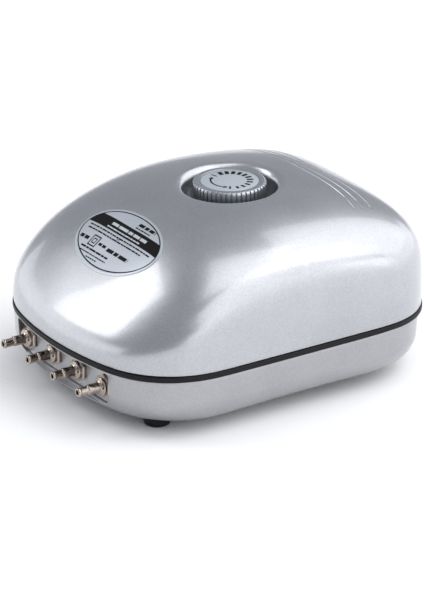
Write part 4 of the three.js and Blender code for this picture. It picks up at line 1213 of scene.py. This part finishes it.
def make_disc_print():
    grids = []
    for i in range(TICKS):
        angle = FIRST_TICK + i * TICK_STEP
        grids.append(radial_bar(angle, 9.0 - 0.08 * i, 11.8 + 0.03 * i, 0.7 + 0.04 * i))
    grids.append(radial_bar(-33, 8.2, 11.8, 0.42))
    grids.append(radial_bar(197, 8.2, 11.8, 0.42))
    grids.append(ink_arc(ARROW_RADIUS, ARROW_RADIUS, 0.9, ARROW_FROM, ARROW_TO, 32))
    grids.append(arrow_head(ARROW_FROM, ARROW_RADIUS, -1))
    grids.append(arrow_head(ARROW_TO, ARROW_RADIUS, 1))
    print_layer = ink_sheets("disc_print", grids, on_disc, black_ink)
    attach(print_layer, "knob")
    return len(grids)


print("marks on the disc:", make_disc_print())


# %% [markdown]
# ## The label
# A thin oval film stuck to the front slope. A flat ellipse would cut through the dome, so each of
# its points is set on the dome's own height, plus the thickness of the film.

# %% Label film
LABEL_Y, LABEL_LEAN = -56.5, 16.3 / 19
LABEL_U, LABEL_V = 32.0, 18.4
LABEL_LIFT = 0.34
LABEL_UNDERSIDE = 0.05


# A point of the label: u runs across the pump and v up the slope, both from the label's middle.
def on_label(u, v, lift=LABEL_LIFT + INK_LIFT):
    y = LABEL_Y + v * LABEL_LEAN
    return (u, y, dome_height(np.array([u]), np.array([y]))[0] + lift)


def make_label():
    rings = []
    shares = [(1.0, LABEL_UNDERSIDE), (1.0, LABEL_LIFT - 0.06), (0.997, LABEL_LIFT)]
    shares += [(share, LABEL_LIFT) for share in np.linspace(0.95, 0.05, 14)]
    shares += [(share, LABEL_UNDERSIDE) for share in np.linspace(0.05, 0.95, 8)]
    for share, lift in shares:
        ring = []
        for angle in np.linspace(0, 2 * math.pi, 96, endpoint=False):
            u, v = LABEL_U * share * math.cos(angle), LABEL_V * share * math.sin(angle)
            ring.append(on_label(u, v, lift))
        rings.append(ring)
    vertices, faces = skin(rings, closed=True)
    label = outward(mesh_object("label_sheet", vertices, faces, label_film, 40))
    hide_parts("name_label")
    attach(label, "case")
    return label


print("label:", len(make_label().data.polygons), "faces")


# %% [markdown]
# ### Printing on the label
# Rows of plain bars keep the weight and rhythm of a rating plate without saying anything. Their
# lengths repeat in a short cycle in which neighbours differ, as the words of a line do.

# %% Label printing
# A bar's row of blocks of different lengths stands for a line of text.
def text_row(u0, u1, v, height, word_lengths, slant=0.0):
    grids, u, i = [], u0, 0
    while u < u1:
        length = min(word_lengths[i % len(word_lengths)], u1 - u)
        grids.append(ink_bar(u, v, u + length, v + height, slant))
        u += length + height * 0.45
        i += 1
    return grids


# One square outline of the sign for double insulation.
def square_frame(u, v, size, line):
    return [
        ink_bar(u, v, u + size, v + line), ink_bar(u, v + size - line, u + size, v + size),
        ink_bar(u, v + line, u + line, v + size - line),
        ink_bar(u + size - line, v + line, u + size, v + size - line),
    ]


# A dark stripe across the label, as wide as the ring round it.
def stripe(v0, v1, half_u, half_v):
    grid = []
    for v in np.linspace(v0, v1, 9):
        reach = half_u * math.sqrt(1 - (v / half_v) ** 2)
        grid.append([(reach * s, v) for s in np.linspace(-1, 1, 33)])
    return grid


def make_label_print():
    ring_u, ring_v = LABEL_U - 1.7, LABEL_V - 1.7
    black = [ink_arc(ring_u, ring_v, 0.65, 0, 360, 128), stripe(2.2, 9.0, ring_u, ring_v)]
    black += text_row(2, 16.5, 11.9, 1.9, [4.6, 3.0, 3.8], 0.15)
    black += text_row(2, 14.5, 10.0, 0.7, [2.2, 1.4, 2.8])
    black += text_row(-26.5, 26.5, 0.3, 0.8, [2.6, 1.5, 3.2, 1.9, 4.0])
    black += text_row(-26, 21, -1.7, 0.8, [3.4, 2.2, 1.6, 4.4])
    black += square_frame(-16.8, -9.6, 6.2, 0.7) + square_frame(-15.2, -8.0, 3.0, 0.55)
    black += text_row(-26, -18.6, -7.6, 1.9, [3.0, 3.6])
    black += text_row(-9.4, -3.2, -7.4, 1.5, [2.6, 3.1])
    black += text_row(-1.5, 17, -8.0, 1.9, [5.6, 3.4, 6.6], 0.15)
    black += text_row(-20, 4, -11.4, 0.95, [4.3, 2.4, 5.6])
    black += text_row(-18.5, 4.5, -13.3, 0.6, [2.6, 1.8, 3.4])
    black += text_row(-11, -1.5, -15.0, 0.6, [1.9, 1.3])
    layer = ink_sheets("label_print_black", black, on_label, black_ink)
    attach(layer, "case")
    pale = text_row(-13.5, 17, 5.3, 1.7, [5.4, 7.8, 3.6])
    pale += text_row(-15, 14, 3.2, 0.75, [2.0, 2.6, 3.3, 1.2])
    lifted = ink_sheets("label_print_pale", pale, lambda u, v: on_label(u, v, LABEL_LIFT + 0.06),
                        pale_ink)
    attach(lifted, "case")
    return len(black) + len(pale)


print("bars and rings on the label:", make_label_print())


# %% [markdown]
# ## Feet
# Push-in rubber feet, slightly conical, with a soft bottom edge, a thin mould line round the
# middle and a hole that lets a screwdriver reach the case screw.


# %% Feet
def make_foot(name):
    low, high = node_box(name)
    x, y = (low[0] + high[0]) / 2, (low[1] + high[1]) / 2
    bore = 2.6
    profile = [(bore, 0), (5.7, 0), (6.25, 0.2), (6.5, 0.7), (6.9, 2.8), (7.0, 2.9), (6.98, 3.0),
               (7.35, high[2] - 0.3), (7.25, high[2]), (bore, high[2])]
    foot = turned(name + "_rubber", "z", profile, (x, y), foot_rubber, 56, 0.25)
    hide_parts(name)
    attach(foot, "case")
    return foot


for name in [n for n in frame["nodes"] if n.startswith("foot_")]:
    print(name, len(make_foot(name).data.polygons), "faces")


# %% [markdown]
# ## Finishes for the pieces that keep their CAD shape
# The works inside the case are already the right shape, so each node only gets the finish of the
# material it is made from.

# %% Assign the finishes
FINISH_OF_SLOT = {
    "cover_paint": cover_paint,
    "tray_paint": tray_paint,
    "band_rubber": band_rubber,
    "foot_rubber": foot_rubber,
    "bush_rubber": bush_rubber,
    "label_film": label_film,
    "nickel_brass": nickel,
    "bright_steel": screw_steel,
    "plated_steel": zinc,
    "core_steel": core_steel,
    "copper_winding": copper_wire,
    "white_nylon": white_nylon,
    "circuit_board": board_green,
    "black_nylon": black_nylon,
    "silicone": silicone,
    "ferrite": ferrite,
    "cast_aluminium": aluminium,
    "filter_felt": felt,
}
slot_of_node = {s["node"]: s["material_slot"] for s in frame["record"]["subparts"]}
for name, node in frame["nodes"].items():
    for slot in node.material_slots:
        slot.material = FINISH_OF_SLOT[slot_of_node[name]]
print("finishes assigned to", len(slot_of_node), "nodes")
